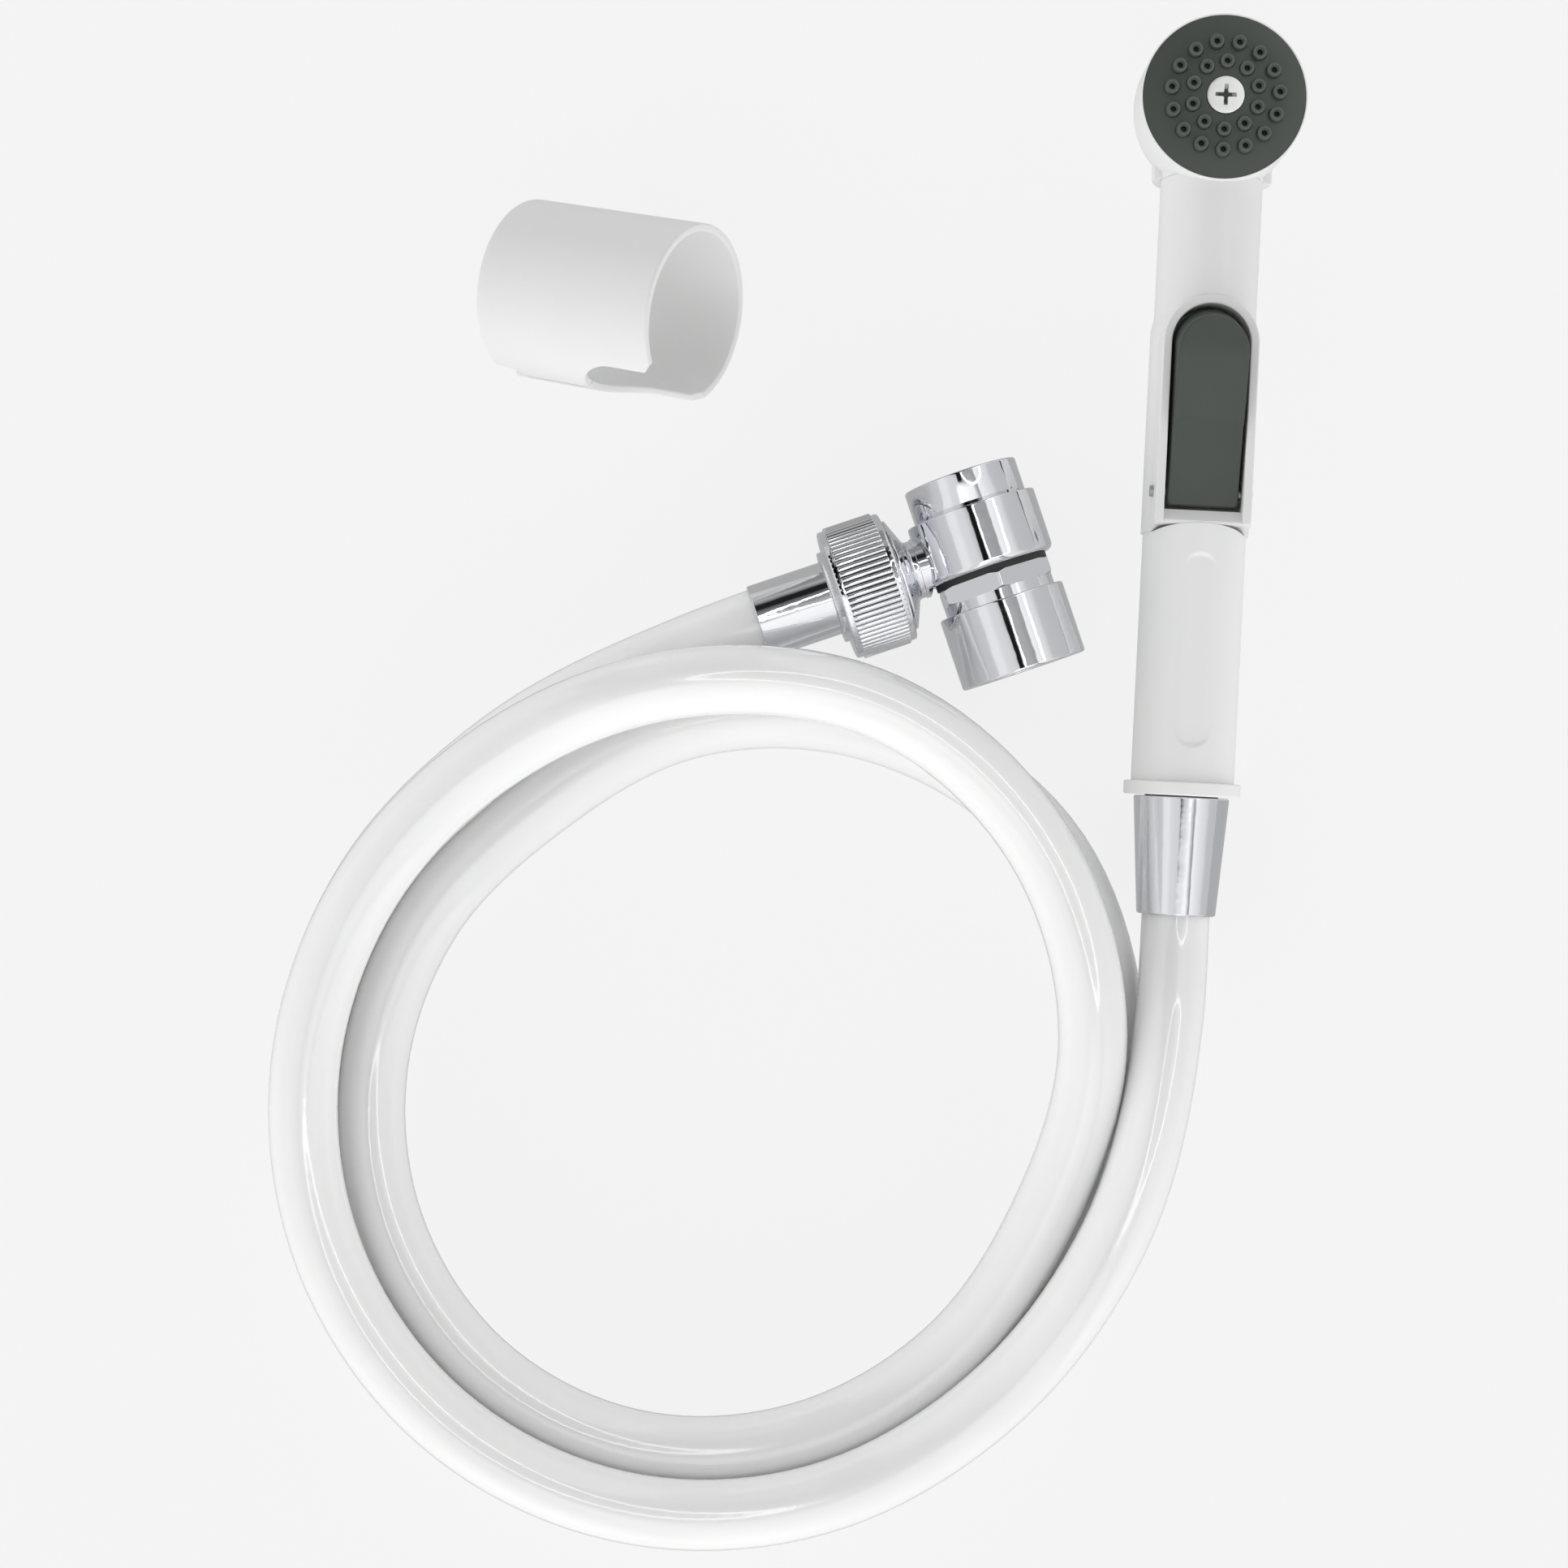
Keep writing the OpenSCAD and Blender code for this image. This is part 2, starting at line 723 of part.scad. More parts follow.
module nozzle_mat() {
    color("#505a52") in_head() difference() {
        union() {
            rod_z(mat_r, mat_seat, face_seat);
            jets(nozzle_r, mat_seat, nozzle_top);
        }
        jets(jet_d / 2, mat_seat - through, nozzle_top + through);
        jets(mouth_d / 2, nozzle_top - mouth_depth, nozzle_top + through);
        rod_z(shank_r + run_gap, mat_seat - through, face_seat + through);
    }
}

module face_gasket() {
    color("#222222") in_head()
        translate([0, 0, mat_seat + gasket_section]) o_ring(gasket_ring_r, gasket_section);
}

module face_screw() {
    head_top = screw_seat + screw_head_h;
    edge = 0.35;
    color("silver") in_head() difference() {
        union() {
            rod_z(screw_head_d / 2, screw_seat, head_top - edge);
            translate([0, 0, head_top - edge])
                cylinder(r1 = screw_head_d / 2, r2 = screw_head_d / 2 - edge, h = edge);
            rod_z(shank_r, screw_seat - screw_shank_l, screw_seat);
        }
        for (turn = [0, 90])
            rotate([0, 0, turn])
                translate([-cross_l / 2, -cross_w / 2, head_top - cross_depth])
                    cube([cross_l, cross_w, cross_depth + through]);
    }
}

module neck_o_ring() {
    color("#222222") in_handset() translate([0, neck_ring_at, 0]) rotate([90, 0, 0])
        o_ring(spigot_r - o_ring_r, o_ring_r);
}

// ---- Handle ----

// What lies above the sloped foot of the housing, where the grip's end laps it.
module above_foot() {
    low = housing_foot - through;
    side_prism(housing_r + through, [
        [low, frame_height - foot_drop],
        [housing_foot, frame_height - foot_drop],
        [slope_top, frame_height],
        [slope_top, housing_r + through],
        [low, housing_r + through]
    ]);
}

// The round tube and housing with the raised block that the frame is cut from.
module housing_shape() {
    rod_y(tube_r, housing_foot, tube_end);
    difference() {
        union() {
            rod_y(housing_r, housing_foot, housing_top);
            translate([0, housing_top, 0]) rotate([-90, 0, 0])
                cylinder(r1 = housing_r, r2 = tube_r, h = housing_blend);
        }
        arch(frame_r, housing_foot - through, frame_top, frame_height, housing_r + through);
    }
    arch(frame_r, housing_foot, frame_top, 0, frame_height);
}

module handle_outside() {
    difference() {
        housing_shape();
        above_foot();
    }
    rod_y(spigot_r, tube_end, tube_end + spigot_l);
    rod_y(grip_bore_r - run_gap, housing_foot - tail_plug_l, slope_top);
}

// The pocket under the paddle, with its sloped chin.
module paddle_pocket() {
    arch(window_r, window_foot, window_top, pocket_floor, frame_height + through);
    side_prism(window_r, [
        [window_foot + through, frame_height - chin_drop],
        [window_foot, frame_height - chin_drop],
        [window_foot - chin_l, frame_height],
        [window_foot - chin_l, frame_height + through],
        [window_foot + through, frame_height + through]
    ]);
}

module handle_body() {
    color("whitesmoke") in_handset() difference() {
        handle_outside();
        paddle_pocket();
        rod_y(neck_bore_r, upper_bore_foot, tube_end + spigot_l + through);
        translate([0, 0, outlet_port_z]) rod_y(outlet_port_r, valve_at, upper_bore_foot + through);
        translate([0, valve_at, 0]) rod_z(block_r + run_gap, -block_bottom, pocket_floor + through);
        translate([0, 0, inlet_port_z]) rod_y(inlet_port_r, pipe_end, valve_at);
        rod_y(plenum_r, pipe_end, pipe_end + plenum_l);
        rod_y(pipe_r + run_gap, housing_foot - tail_plug_l - through, pipe_end);
        translate([0, pivot_at, pivot_height]) rod_x(pin_r, -housing_r, housing_r);
        translate([0, neck_ring_at - o_ring_groove / 2, 0])
            tube_y(spigot_r + through, spigot_r - 2 * o_ring_r - run_gap, 0, o_ring_groove);
    }
}

// Side outline of the paddle: a low slope up to the crease, then a raised pad.
function paddle_outline() = [
    [paddle_foot, paddle_under],
    [paddle_foot, frame_height - end_rise],
    [crease_at, crease_height],
    [crease_at + 2, crease_height + 1],
    [crown_start, paddle_crown],
    [crown_at - 1, paddle_crown],
    [crown_at, paddle_crown - 0.6],
    [paddle_top, paddle_crown - shoulder_drop],
    [paddle_top, paddle_under]
];

module trigger_paddle() {
    color("#484e49") in_handset() difference() {
        union() {
            intersection() {
                arch(paddle_r, paddle_foot, paddle_top, 0, paddle_crown + through);
                side_prism(paddle_r + through, paddle_outline());
            }
            translate([0, pivot_at, pivot_height]) rod_x(pivot_boss_r, -paddle_r, paddle_r);
        }
        translate([0, pivot_at, pivot_height])
            rod_x(pin_r + run_gap, -paddle_r - through, paddle_r + through);
    }
}

module pivot_pin() {
    color("silver") in_handset() translate([0, pivot_at, pivot_height])
        rod_x(pin_r, -pin_half_l, pin_half_l);
}

// ---- Water valve ----

module valve_block() {
    color("ivory") in_valve() difference() {
        rod_z(block_r, -block_bottom, pocket_floor);
        rod_z(chamber_d / 2, -block_bottom - through, -seat_depth);
        rod_z(seat_hole_d / 2, -seat_depth - through, -seat_depth + seat_thickness + through);
        rod_z(chamber_d / 2, -seat_depth + seat_thickness, guide_floor);
        rod_z(stem_r + run_gap, guide_floor - through, pocket_floor + through);
        rod_z(stem_r + 2 * stem_ring_r + 2 * run_gap, stem_ring_at - stem_ring_r - run_gap,
              stem_ring_at + stem_ring_r + run_gap);
        translate([0, 0, inlet_port_z]) rod_y(inlet_port_r, -block_r - through, 0);
        translate([0, 0, outlet_port_z]) rod_y(outlet_port_r, 0, block_r + through);
    }
}

module valve_stem() {
    color("silver") in_valve() {
        rod_z(stem_r, stem_foot, stem_top - stem_r);
        translate([0, 0, stem_top - stem_r]) sphere(r = stem_r);
        rod_z(seal_d / 2, stem_foot, flange_top);
    }
}

module valve_seal() {
    color("#222222") in_valve() difference() {
        rod_z(seal_d / 2, flange_top, seal_top);
        rod_z(stem_r, flange_top - through, seal_top + through);
    }
}

module stem_o_ring() {
    color("#222222") in_valve() translate([0, 0, stem_ring_at])
        o_ring(stem_r + stem_ring_r + run_gap, stem_ring_r);
}

module trigger_spring() {
    color("silver") in_valve()
        coil_spring(seal_d / 2 - 0.6, trigger_wire_d / 2, -block_bottom, stem_foot, 3);
}

// ---- Grip and hose nut ----

module grip_sleeve() {
    color("gainsboro") in_handset() difference() {
        union() {
            tube_y(grip_r, grip_bore_r, flange_t, housing_foot);
            intersection() {
                tube_y(grip_r, grip_bore_r, housing_foot, slope_top);
                above_foot();
            }
        }
        translate([0, 0, grip_r - recess_depth]) linear_extrude(grip_r) union() {
            translate([-recess_w / 2, recess_foot + recess_w / 2])
                square([recess_w, recess_top - recess_foot - recess_w]);
            for (end = [recess_foot + recess_w / 2, recess_top - recess_w / 2])
                translate([0, end]) circle(r = recess_w / 2);
        }
    }
}

module end_flange() {
    hub_l = 5;
    color("white") in_handset() difference() {
        union() {
            rod_y(flange_r, 0, flange_t);
            rod_y(grip_bore_r - run_gap, flange_t, flange_t + hub_l);
        }
        rod_y(pipe_r + run_gap, -through, flange_t + hub_l + through);
    }
}

module inlet_pipe() {
    color("ivory") in_handset() difference() {
        union() {
            rod_y(thread_d / 2, -thread_l, 0);
            rod_y(pipe_r, 0, pipe_end);
        }
        rod_y(pipe_bore / 2, -thread_l - through, pipe_end + through);
    }
}

module hose_nut() {
    color("silver") in_handset() rotate([90, 0, 0]) rotate_extrude() polygon([
        [nut_bore_r, -nut_top],
        [nut_top_d / 2, -nut_top],
        [nut_end_d / 2, -nut_foot - nut_round],
        [nut_end_d / 2 - nut_round / 3, -nut_foot - nut_round / 3],
        [nut_end_d / 2 - nut_round, -nut_foot],
        [hose_hole_r, -nut_foot],
        [hose_hole_r, -nut_shoulder],
        [nut_bore_r, -nut_shoulder]
    ]);
}

module handset_washer() {
    color("#222222") in_handset()
        tube_y(tail_flange_r, pipe_bore / 2, washer_foot, -thread_l);
}

module handset_hose_tail() {
    color("goldenrod") in_handset() difference() {
        union() {
            rod_y(tail_flange_r, tail_foot, washer_foot);
            rod_y(tail_d / 2, tail_foot - tail_l, tail_foot);
        }
        rod_y(tail_bore / 2, tail_foot - tail_l - through, washer_foot + through);
    }
}

// ---- Hose ----

function coil_line() = [
    for (i = [0 : len(coil_stops) - 1])
        let (bearing = coil_first_bearing - i * 360 / coil_stations,
             out = coil_r + coil_stops[i][0])
        [coil_centre[0] + out * cos(bearing), coil_centre[1] + out * sin(bearing),
         coil_stops[i][1]]
];

module hose() {
    route = concat(hose_start, coil_line(), hose_finish);
    color("white") swept_tube(smooth(route, rings_per_span), hose_d / 2, hose_sides);
}

// ---- Side outlet ----

module hose_ferrule() {
    color("silver") in_diverter()
        tube_x(ferrule_r, ferrule_wall_r, sink_tail_end, ferrule_end);
}

module sink_hose_tail() {
    color("goldenrod") in_diverter() difference() {
        union() {
            rod_x(sink_tail_r, sink_washer_end, sink_tail_end);
            rod_x(tail_d / 2, sink_tail_end, sink_tail_end + tail_l);
        }
        rod_x(tail_bore / 2, sink_washer_end - through, sink_tail_end + tail_l + through);
    }
}

module sink_washer() {
    color("#222222") in_diverter()
        tube_x(sink_tail_r, outlet_bore / 2, outlet_thread_reach, sink_washer_end);
}

module knurling() {
    step = 360 / ridges;
    inner = knurl_r - ridge_depth;
    polygon([
        for (i = [0 : ridges - 1])
            for (p = [[0, inner], [0.3, knurl_r], [0.7, knurl_r]])
                p[1] * [cos((i + p[0]) * step), sin((i + p[0]) * step)]
    ]);
}

module knurled_nut() {
    color("silver") in_diverter() difference() {
        union() {
            rod_x(band_d / 2, knurl_start, knurl_end);
            translate([-knurl_end + band_l, 0, 0]) rotate([0, 90, 0])
                linear_extrude(knurl_nut_l - 2 * band_l) knurling();
            rod_x(hub_d / 2, knurl_end, knurl_end + hub_l);
        }
        rod_x(knurl_bore_r, knurl_start - through, knurl_shoulder);
        rod_x(ferrule_hole_r, knurl_shoulder - through, knurl_end + hub_l + through);
    }
}

// ---- Diverter ----

// The side outlet's boss and neck, which stop short of the gasket below the body.
module side_boss() {
    relief = 0.4;
    difference() {
        union() {
            rod_x(boss_d / 2, 0, boss_reach);
            rod_x(neck_d / 2, 0, neck_reach);
        }
        rod_y(body_r - relief, -boss_d, -body_down);
    }
}

module diverter_body() {
    color("silver") in_diverter() difference() {
        union() {
            rotate([-90, 0, 0]) rotate_extrude() polygon([
                [0, -body_down],
                [body_r - body_round, -body_down],
                [body_r - body_round / 3, -body_down + body_round / 3],
                [body_r, -body_down + body_round],
                [body_r, body_up - 0.4],
                [body_r - 0.4, body_up],
                [0, body_up]
            ]);
            side_boss();
            translate([-neck_reach, 0, 0]) rotate([0, -90, 0])
                cylinder(r1 = neck_d / 2, r2 = outlet_flange_d / 2,
                         h = outlet_flange_reach - neck_reach - 0.6);
            rod_x(outlet_flange_d / 2, outlet_flange_reach - 0.6, outlet_flange_reach);
            rod_x(outlet_thread_d / 2, outlet_flange_reach, outlet_thread_reach);
        }
        rod_y(body_chamber_d / 2, -body_down - through, body_up);
        rod_y(skirt_r + run_gap, body_counterbore, body_up + through);
        rod_x(outlet_bore / 2, 0, outlet_thread_reach + through);
    }
}

module inlet_collar() {
    color("silver") in_diverter() difference() {
        union() {
            intersection() {
                rod_y(collar_r, collar_foot, collar_top);
                translate([-flats_w / 2, collar_foot, -collar_r])
                    cube([flats_w, collar_l, collar_d]);
            }
            rod_y(skirt_r, skirt_foot, collar_foot);
        }
        rod_y(tap_thread_r, tap_thread_foot, collar_top + through);
        rod_y(washer_r, washer_seat, tap_thread_foot + through);
        rod_y(inlet_hole_r, skirt_foot - through, washer_seat + through);
        translate([0, clip_at - clip_section - run_gap, 0])
            tube_y(skirt_r + through, skirt_r - 2 * clip_section,
                   0, 2 * (clip_section + run_gap));
    }
}

module collar_clip() {
    color("silver") in_diverter() translate([0, clip_at, 0]) rotate([90, 0, 0])
        o_ring(skirt_r - clip_section, clip_section);
}

module inlet_washer() {
    color("#222222") in_diverter()
        tube_y(washer_r, inlet_hole_r, washer_seat + screen_t, tap_thread_foot - 0.1);
}

module inlet_screen() {
    hole_r = 0.7;
    pitch = 2;
    rows = floor((inlet_hole_r - hole_r) / pitch);
    color("lightgray") in_diverter() difference() {
        rod_y(washer_r, washer_seat, washer_seat + screen_t);
        for (i = [-rows : rows], k = [-rows : rows])
            if (norm([i, k]) * pitch < inlet_hole_r - hole_r)
                translate([i * pitch, 0, k * pitch])
                    rod_y(hole_r, washer_seat - through, washer_seat + screen_t + through);
    }
}

module body_gasket() {
    color("#222222") in_diverter()
        tube_y(gasket_d / 2, nipple_r, gasket_foot, -body_down);
}

module spout_nipple() {
    chamfer = 1;
    color("silver") in_diverter() difference() {
        union() {
            rod_y(nipple_r, gasket_foot, nipple_top);
            intersection() {
                translate([0, hex_foot, 0]) rotate([-90, 0, 0])
                    cylinder(r = hex_w / 2, h = hex_l, $fn = 6);
                rotate([-90, 0, 0]) rotate_extrude() polygon([
                    [0, hex_foot],
                    [hex_w / 2 - chamfer, hex_foot],
                    [hex_w / 2, hex_foot + chamfer],
                    [hex_w / 2, gasket_foot - chamfer],
                    [hex_w / 2 - chamfer, gasket_foot],
                    [0, gasket_foot]
                ]);
            }
            rod_y(guide_r, guide_foot, hex_foot);
        }
        rod_y(spout_bore / 2, ledge_top, nipple_top + through);
        rod_y(ledge_hole_r, guide_foot - through, ledge_top + through);
        translate([0, guide_ring_at - guide_ring_r - run_gap, 0])
            tube_y(guide_r + through, guide_r - 2 * guide_ring_r - run_gap,
                   0, 2 * (guide_ring_r + run_gap));
    }
}

module guide_o_ring() {
    color("#222222") in_diverter() translate([0, guide_ring_at, 0]) rotate([90, 0, 0])
        o_ring(guide_r - guide_ring_r, guide_ring_r);
}

module diverter_spool() {
    bar_w = 2.4;
    spider_r = ring_bore_r - run_gap;
    color("ivory") in_diverter() {
        rod_y(rod_r, shelf_top, piston_top);
        rod_y(piston_r, piston_top - piston_t, piston_top);
        rod_y(spring_plate_r, spring_plate_top - spring_plate_t, spring_plate_top);
        intersection() {
            rod_y(spider_r, shelf_top, shelf_top + spider_t);
            union() {
                for (turn = [0, 90])
                    rotate([0, turn, 0]) translate([-spider_r, shelf_top, -bar_w / 2])
                        cube([2 * spider_r, spider_t, bar_w]);
            }
        }
    }
}

module spool_seal() {
    color("#222222") in_diverter()
        tube_y(spool_seal_r, rod_r, piston_top - piston_t - spool_seal_t, piston_top - piston_t);
}

module diverter_spring() {
    color("silver") in_diverter() rotate([-90, 0, 0])
        coil_spring(spring_plate_r - 1.2, diverter_wire_d / 2,
                    ledge_top, spring_plate_top - spring_plate_t, 7);
}

module pull_ring() {
    edge = 0.6;
    color("silver") in_diverter() difference() {
        rotate([-90, 0, 0]) rotate_extrude() polygon([
            [0, ring_foot],
            [ring_r - edge, ring_foot],
            [ring_r, ring_foot + edge],
            [ring_r, ring_top - edge],
            [ring_r - edge, ring_top],
            [0, ring_top]
        ]);
        rod_y(ring_bore_r, shelf_top, ring_top + through);
        rod_y(shelf_hole_r, aerator_top - through, shelf_top + through);
        rod_y(aerator_r, ring_foot - through, aerator_top);
    }
}

module aerator_insert() {
    hole_r = 0.7;
    recess = 0.4;
    rim = 1.45;
    rings = 4;
    insert_r = aerator_r - run_gap;
    pitch = (insert_r - rim - hole_r) / rings;
    color("lightgray") in_diverter() difference() {
        rod_y(insert_r, ring_foot + recess, aerator_top);
        for (ring = [1 : rings], i = [0 : 6 * ring - 1])
            rotate([0, i * 60 / ring, 0]) translate([pitch * ring, 0, 0])
                rod_y(hole_r, ring_foot, aerator_top + through);
    }
}

// ---- Holder sleeve ----

module sleeve_slots() {
    round_r = slot_w / 2;
    round_at = sleeve_l - front_slot_l + round_r;
    rear_r = rear_slot_w / 2;
    rear_at = rear_slot_l - rear_r;
    linear_extrude(sleeve_d) union() {
        translate([round_at, 0]) circle(r = round_r);
        translate([round_at, -round_r]) square([sleeve_l - round_at + through, slot_w]);
        polygon([
            [sleeve_l - flare_l, -round_r],
            [sleeve_l + through, -slot_mouth_w / 2],
            [sleeve_l + through, slot_mouth_w / 2],
            [sleeve_l - flare_l, round_r]
        ]);
        translate([rear_at, 0]) circle(r = rear_r);
        translate([-through, -rear_r]) square([rear_at + through, rear_slot_w]);
    }
}

module holder_sleeve() {
    rest_height = sleeve_r * cos(sleeve_tilt);
    color("white") translate([sleeve_x, sleeve_y, rest_height])
        rotate([0, -sleeve_tilt, sleeve_turn]) difference() {
            rotate([0, 90, 0]) cylinder(r = sleeve_r, h = sleeve_l);
            translate([-through, 0, 0]) rotate([0, 90, 0])
                cylinder(r = sleeve_bore_r, h = sleeve_l + 2 * through);
            rotate([90 - slot_angle, 0, 0]) sleeve_slots();
        }
}

head_housing();
spray_face();
nozzle_mat();
face_gasket();
face_screw();
neck_o_ring();
handle_body();
trigger_paddle();
pivot_pin();
valve_block();
valve_stem();
valve_seal();
stem_o_ring();
trigger_spring();
grip_sleeve();
end_flange();
inlet_pipe();
hose_nut();
handset_washer();
handset_hose_tail();
hose();
hose_ferrule();
sink_hose_tail();
sink_washer();
knurled_nut();
diverter_body();
inlet_collar();
collar_clip();
inlet_washer();
inlet_screen();
body_gasket();
spout_nipple();
guide_o_ring();
diverter_spool();
spool_seal();
diverter_spring();
pull_ring();
aerator_insert();
holder_sleeve();
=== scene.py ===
"""Looks of a handheld bath sprayer: its handset, hose, tap diverter and holder sleeve.

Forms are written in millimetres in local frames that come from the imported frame, and are
made into meshes in the row frame, in metres. What is turned has its axis along local +Y.
"""

from __future__ import annotations

import json
import logging
import math
from dataclasses import dataclass, field
from enum import Enum
from typing import Callable, Iterable, Sequence

import bmesh
import bpy
from mathutils import Matrix, Vector

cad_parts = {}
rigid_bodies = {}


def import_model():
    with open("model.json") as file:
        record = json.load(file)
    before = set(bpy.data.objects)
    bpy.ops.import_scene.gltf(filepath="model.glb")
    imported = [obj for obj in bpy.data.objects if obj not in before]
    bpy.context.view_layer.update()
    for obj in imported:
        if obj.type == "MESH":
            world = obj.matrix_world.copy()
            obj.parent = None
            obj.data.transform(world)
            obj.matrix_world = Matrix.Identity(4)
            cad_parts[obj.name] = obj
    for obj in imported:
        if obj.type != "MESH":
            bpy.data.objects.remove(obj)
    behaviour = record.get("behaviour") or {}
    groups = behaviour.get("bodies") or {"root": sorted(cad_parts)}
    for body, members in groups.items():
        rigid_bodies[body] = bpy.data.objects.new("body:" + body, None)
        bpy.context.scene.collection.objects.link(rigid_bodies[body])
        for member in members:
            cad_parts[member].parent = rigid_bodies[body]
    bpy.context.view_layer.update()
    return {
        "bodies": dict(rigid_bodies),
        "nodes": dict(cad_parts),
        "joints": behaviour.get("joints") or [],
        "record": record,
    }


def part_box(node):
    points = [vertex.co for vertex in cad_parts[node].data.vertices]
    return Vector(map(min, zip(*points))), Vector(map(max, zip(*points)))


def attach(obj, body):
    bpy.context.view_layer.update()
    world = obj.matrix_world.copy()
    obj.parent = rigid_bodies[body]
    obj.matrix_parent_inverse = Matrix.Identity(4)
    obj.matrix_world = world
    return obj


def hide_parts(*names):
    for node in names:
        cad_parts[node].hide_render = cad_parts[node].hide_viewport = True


MM = 0.001
MERGE_REACH = 1e-6
CORNER_ANGLE = 32.0
LOG = logging.getLogger("bath_sprayer")

Pair = tuple[float, float]
Triple = tuple[float, float, float]
Socket = bpy.types.NodeSocket


# ---------------------------------------------------------------- node trees


class Tree:
    """The node tree of a material or of the world, with short ways to add to it."""

    def __init__(self, owner: bpy.types.Material | bpy.types.World) -> None:
        """Turns on the nodes of the material or world."""
        owner.use_nodes = True
        self.nodes = owner.node_tree.nodes
        self.links = owner.node_tree.links

    def feed(self, node: bpy.types.Node, inputs: dict[str | int, object]) -> bpy.types.Node:
        """Links sockets to a node's inputs, or sets their values.

        Args:
            node: the node.
            inputs: what each input gets, by the input's name or number.

        Returns:
            The same node.
        """
        for key, value in inputs.items():
            if isinstance(value, Socket):
                self.links.new(value, node.inputs[key])
            else:
                node.inputs[key].default_value = value
        return node

    def add(
        self, kind: str, inputs: dict[str | int, object] | None = None, **settings: str
    ) -> bpy.types.Node:
        """Adds a node.

        Args:
            kind: Blender's name for the kind of node.
            inputs: what its inputs get.
            settings: its other properties.

        Returns:
            The new node.
        """
        node = self.nodes.new(kind)
        for key, value in settings.items():
            setattr(node, key, value)
        return self.feed(node, inputs or {})

    def noise(self, place: Socket, scale: float, detail: float) -> Socket:
        """Returns the grey of a noise texture at a place."""
        inputs = {"Vector": place, "Scale": scale, "Detail": detail}
        return self.add("ShaderNodeTexNoise", inputs).outputs["Fac"]

    def carry(self, value: Socket, source: Pair, target: Pair) -> Socket:
        """Returns a value carried from one span to another, and held at the ends."""
        ends = zip(("From Min", "From Max", "To Min", "To Max"), (*source, *target))
        return self.add("ShaderNodeMapRange", {"Value": value, **dict(ends)}).outputs["Result"]

    def mix(
        self, share: Socket, first: Socket | Sequence[float], second: Socket | Sequence[float]
    ) -> Socket:
        """Returns the first colour where the share is 0, and the second where it is 1."""
        colours = {"Factor": share, "A": first, "B": second}
        return self.add("ShaderNodeMix", colours, data_type="RGBA").outputs["Result"]

    def vector(self, operation: str, first: Socket, second: Socket | Triple) -> Socket:
        """Returns the result of one of Blender's vector operations."""
        node = self.add("ShaderNodeVectorMath", {0: first, 1: second}, operation=operation)
        return node.outputs["Value" if operation in ("DOT_PRODUCT", "DISTANCE") else "Vector"]

    def masked(self, factor: Socket, mask: Socket) -> Socket:
        """Returns a factor where the mask is 1, and plain 1 where the mask is 0."""
        return self.mix(mask, (1, 1, 1, 1), factor)

    def ramp(
        self, source: Socket, stops: Sequence[Pair], low: float = -1.0, peak: float = 1.0
    ) -> Socket:
        """Adds a ramp of grey over one measure of a direction.

        Args:
            source: the measure.
            stops: (measure, brightness) of each stop.
            low: the measure where the ramp starts; it ends at 1.
            peak: the brightness that the ramp shows as 1.

        Returns:
            The ramp's colour socket.
        """
        share = self.carry(source, (low, 1.0), (0.0, 1.0))
        node = self.add("ShaderNodeValToRGB", {"Fac": share})
        elements = node.color_ramp.elements
        while len(elements) < len(stops):
            elements.new(1.0)
        for element, (at, brightness) in zip(elements, stops):
            grey = brightness / peak
            element.position = (at - low) / (1.0 - low)
            element.color = (grey, grey, grey, 1)
        return node.outputs["Color"]


# ---------------------------------------------------------------- finishes

CLOUD_SCALE = 60.0
CLOUD_SPAN = (0.3, 0.7)
COAT_ROUGHNESS = 0.06
GLOW_REACH = (0.004, 0.004, 0.003)
GLOW_SCALE = 0.5


class Grain(Enum):
    """Fine texture that making leaves in a surface: feature size in mm and its depth."""

    MOULDED = (0.9, 0.012)
    SATIN = (0.16, 0.035)
    PLATED = (5.0, 0.010)
    TURNED = (0.5, 0.020)
    EXTRUDED = (3.0, 0.020)


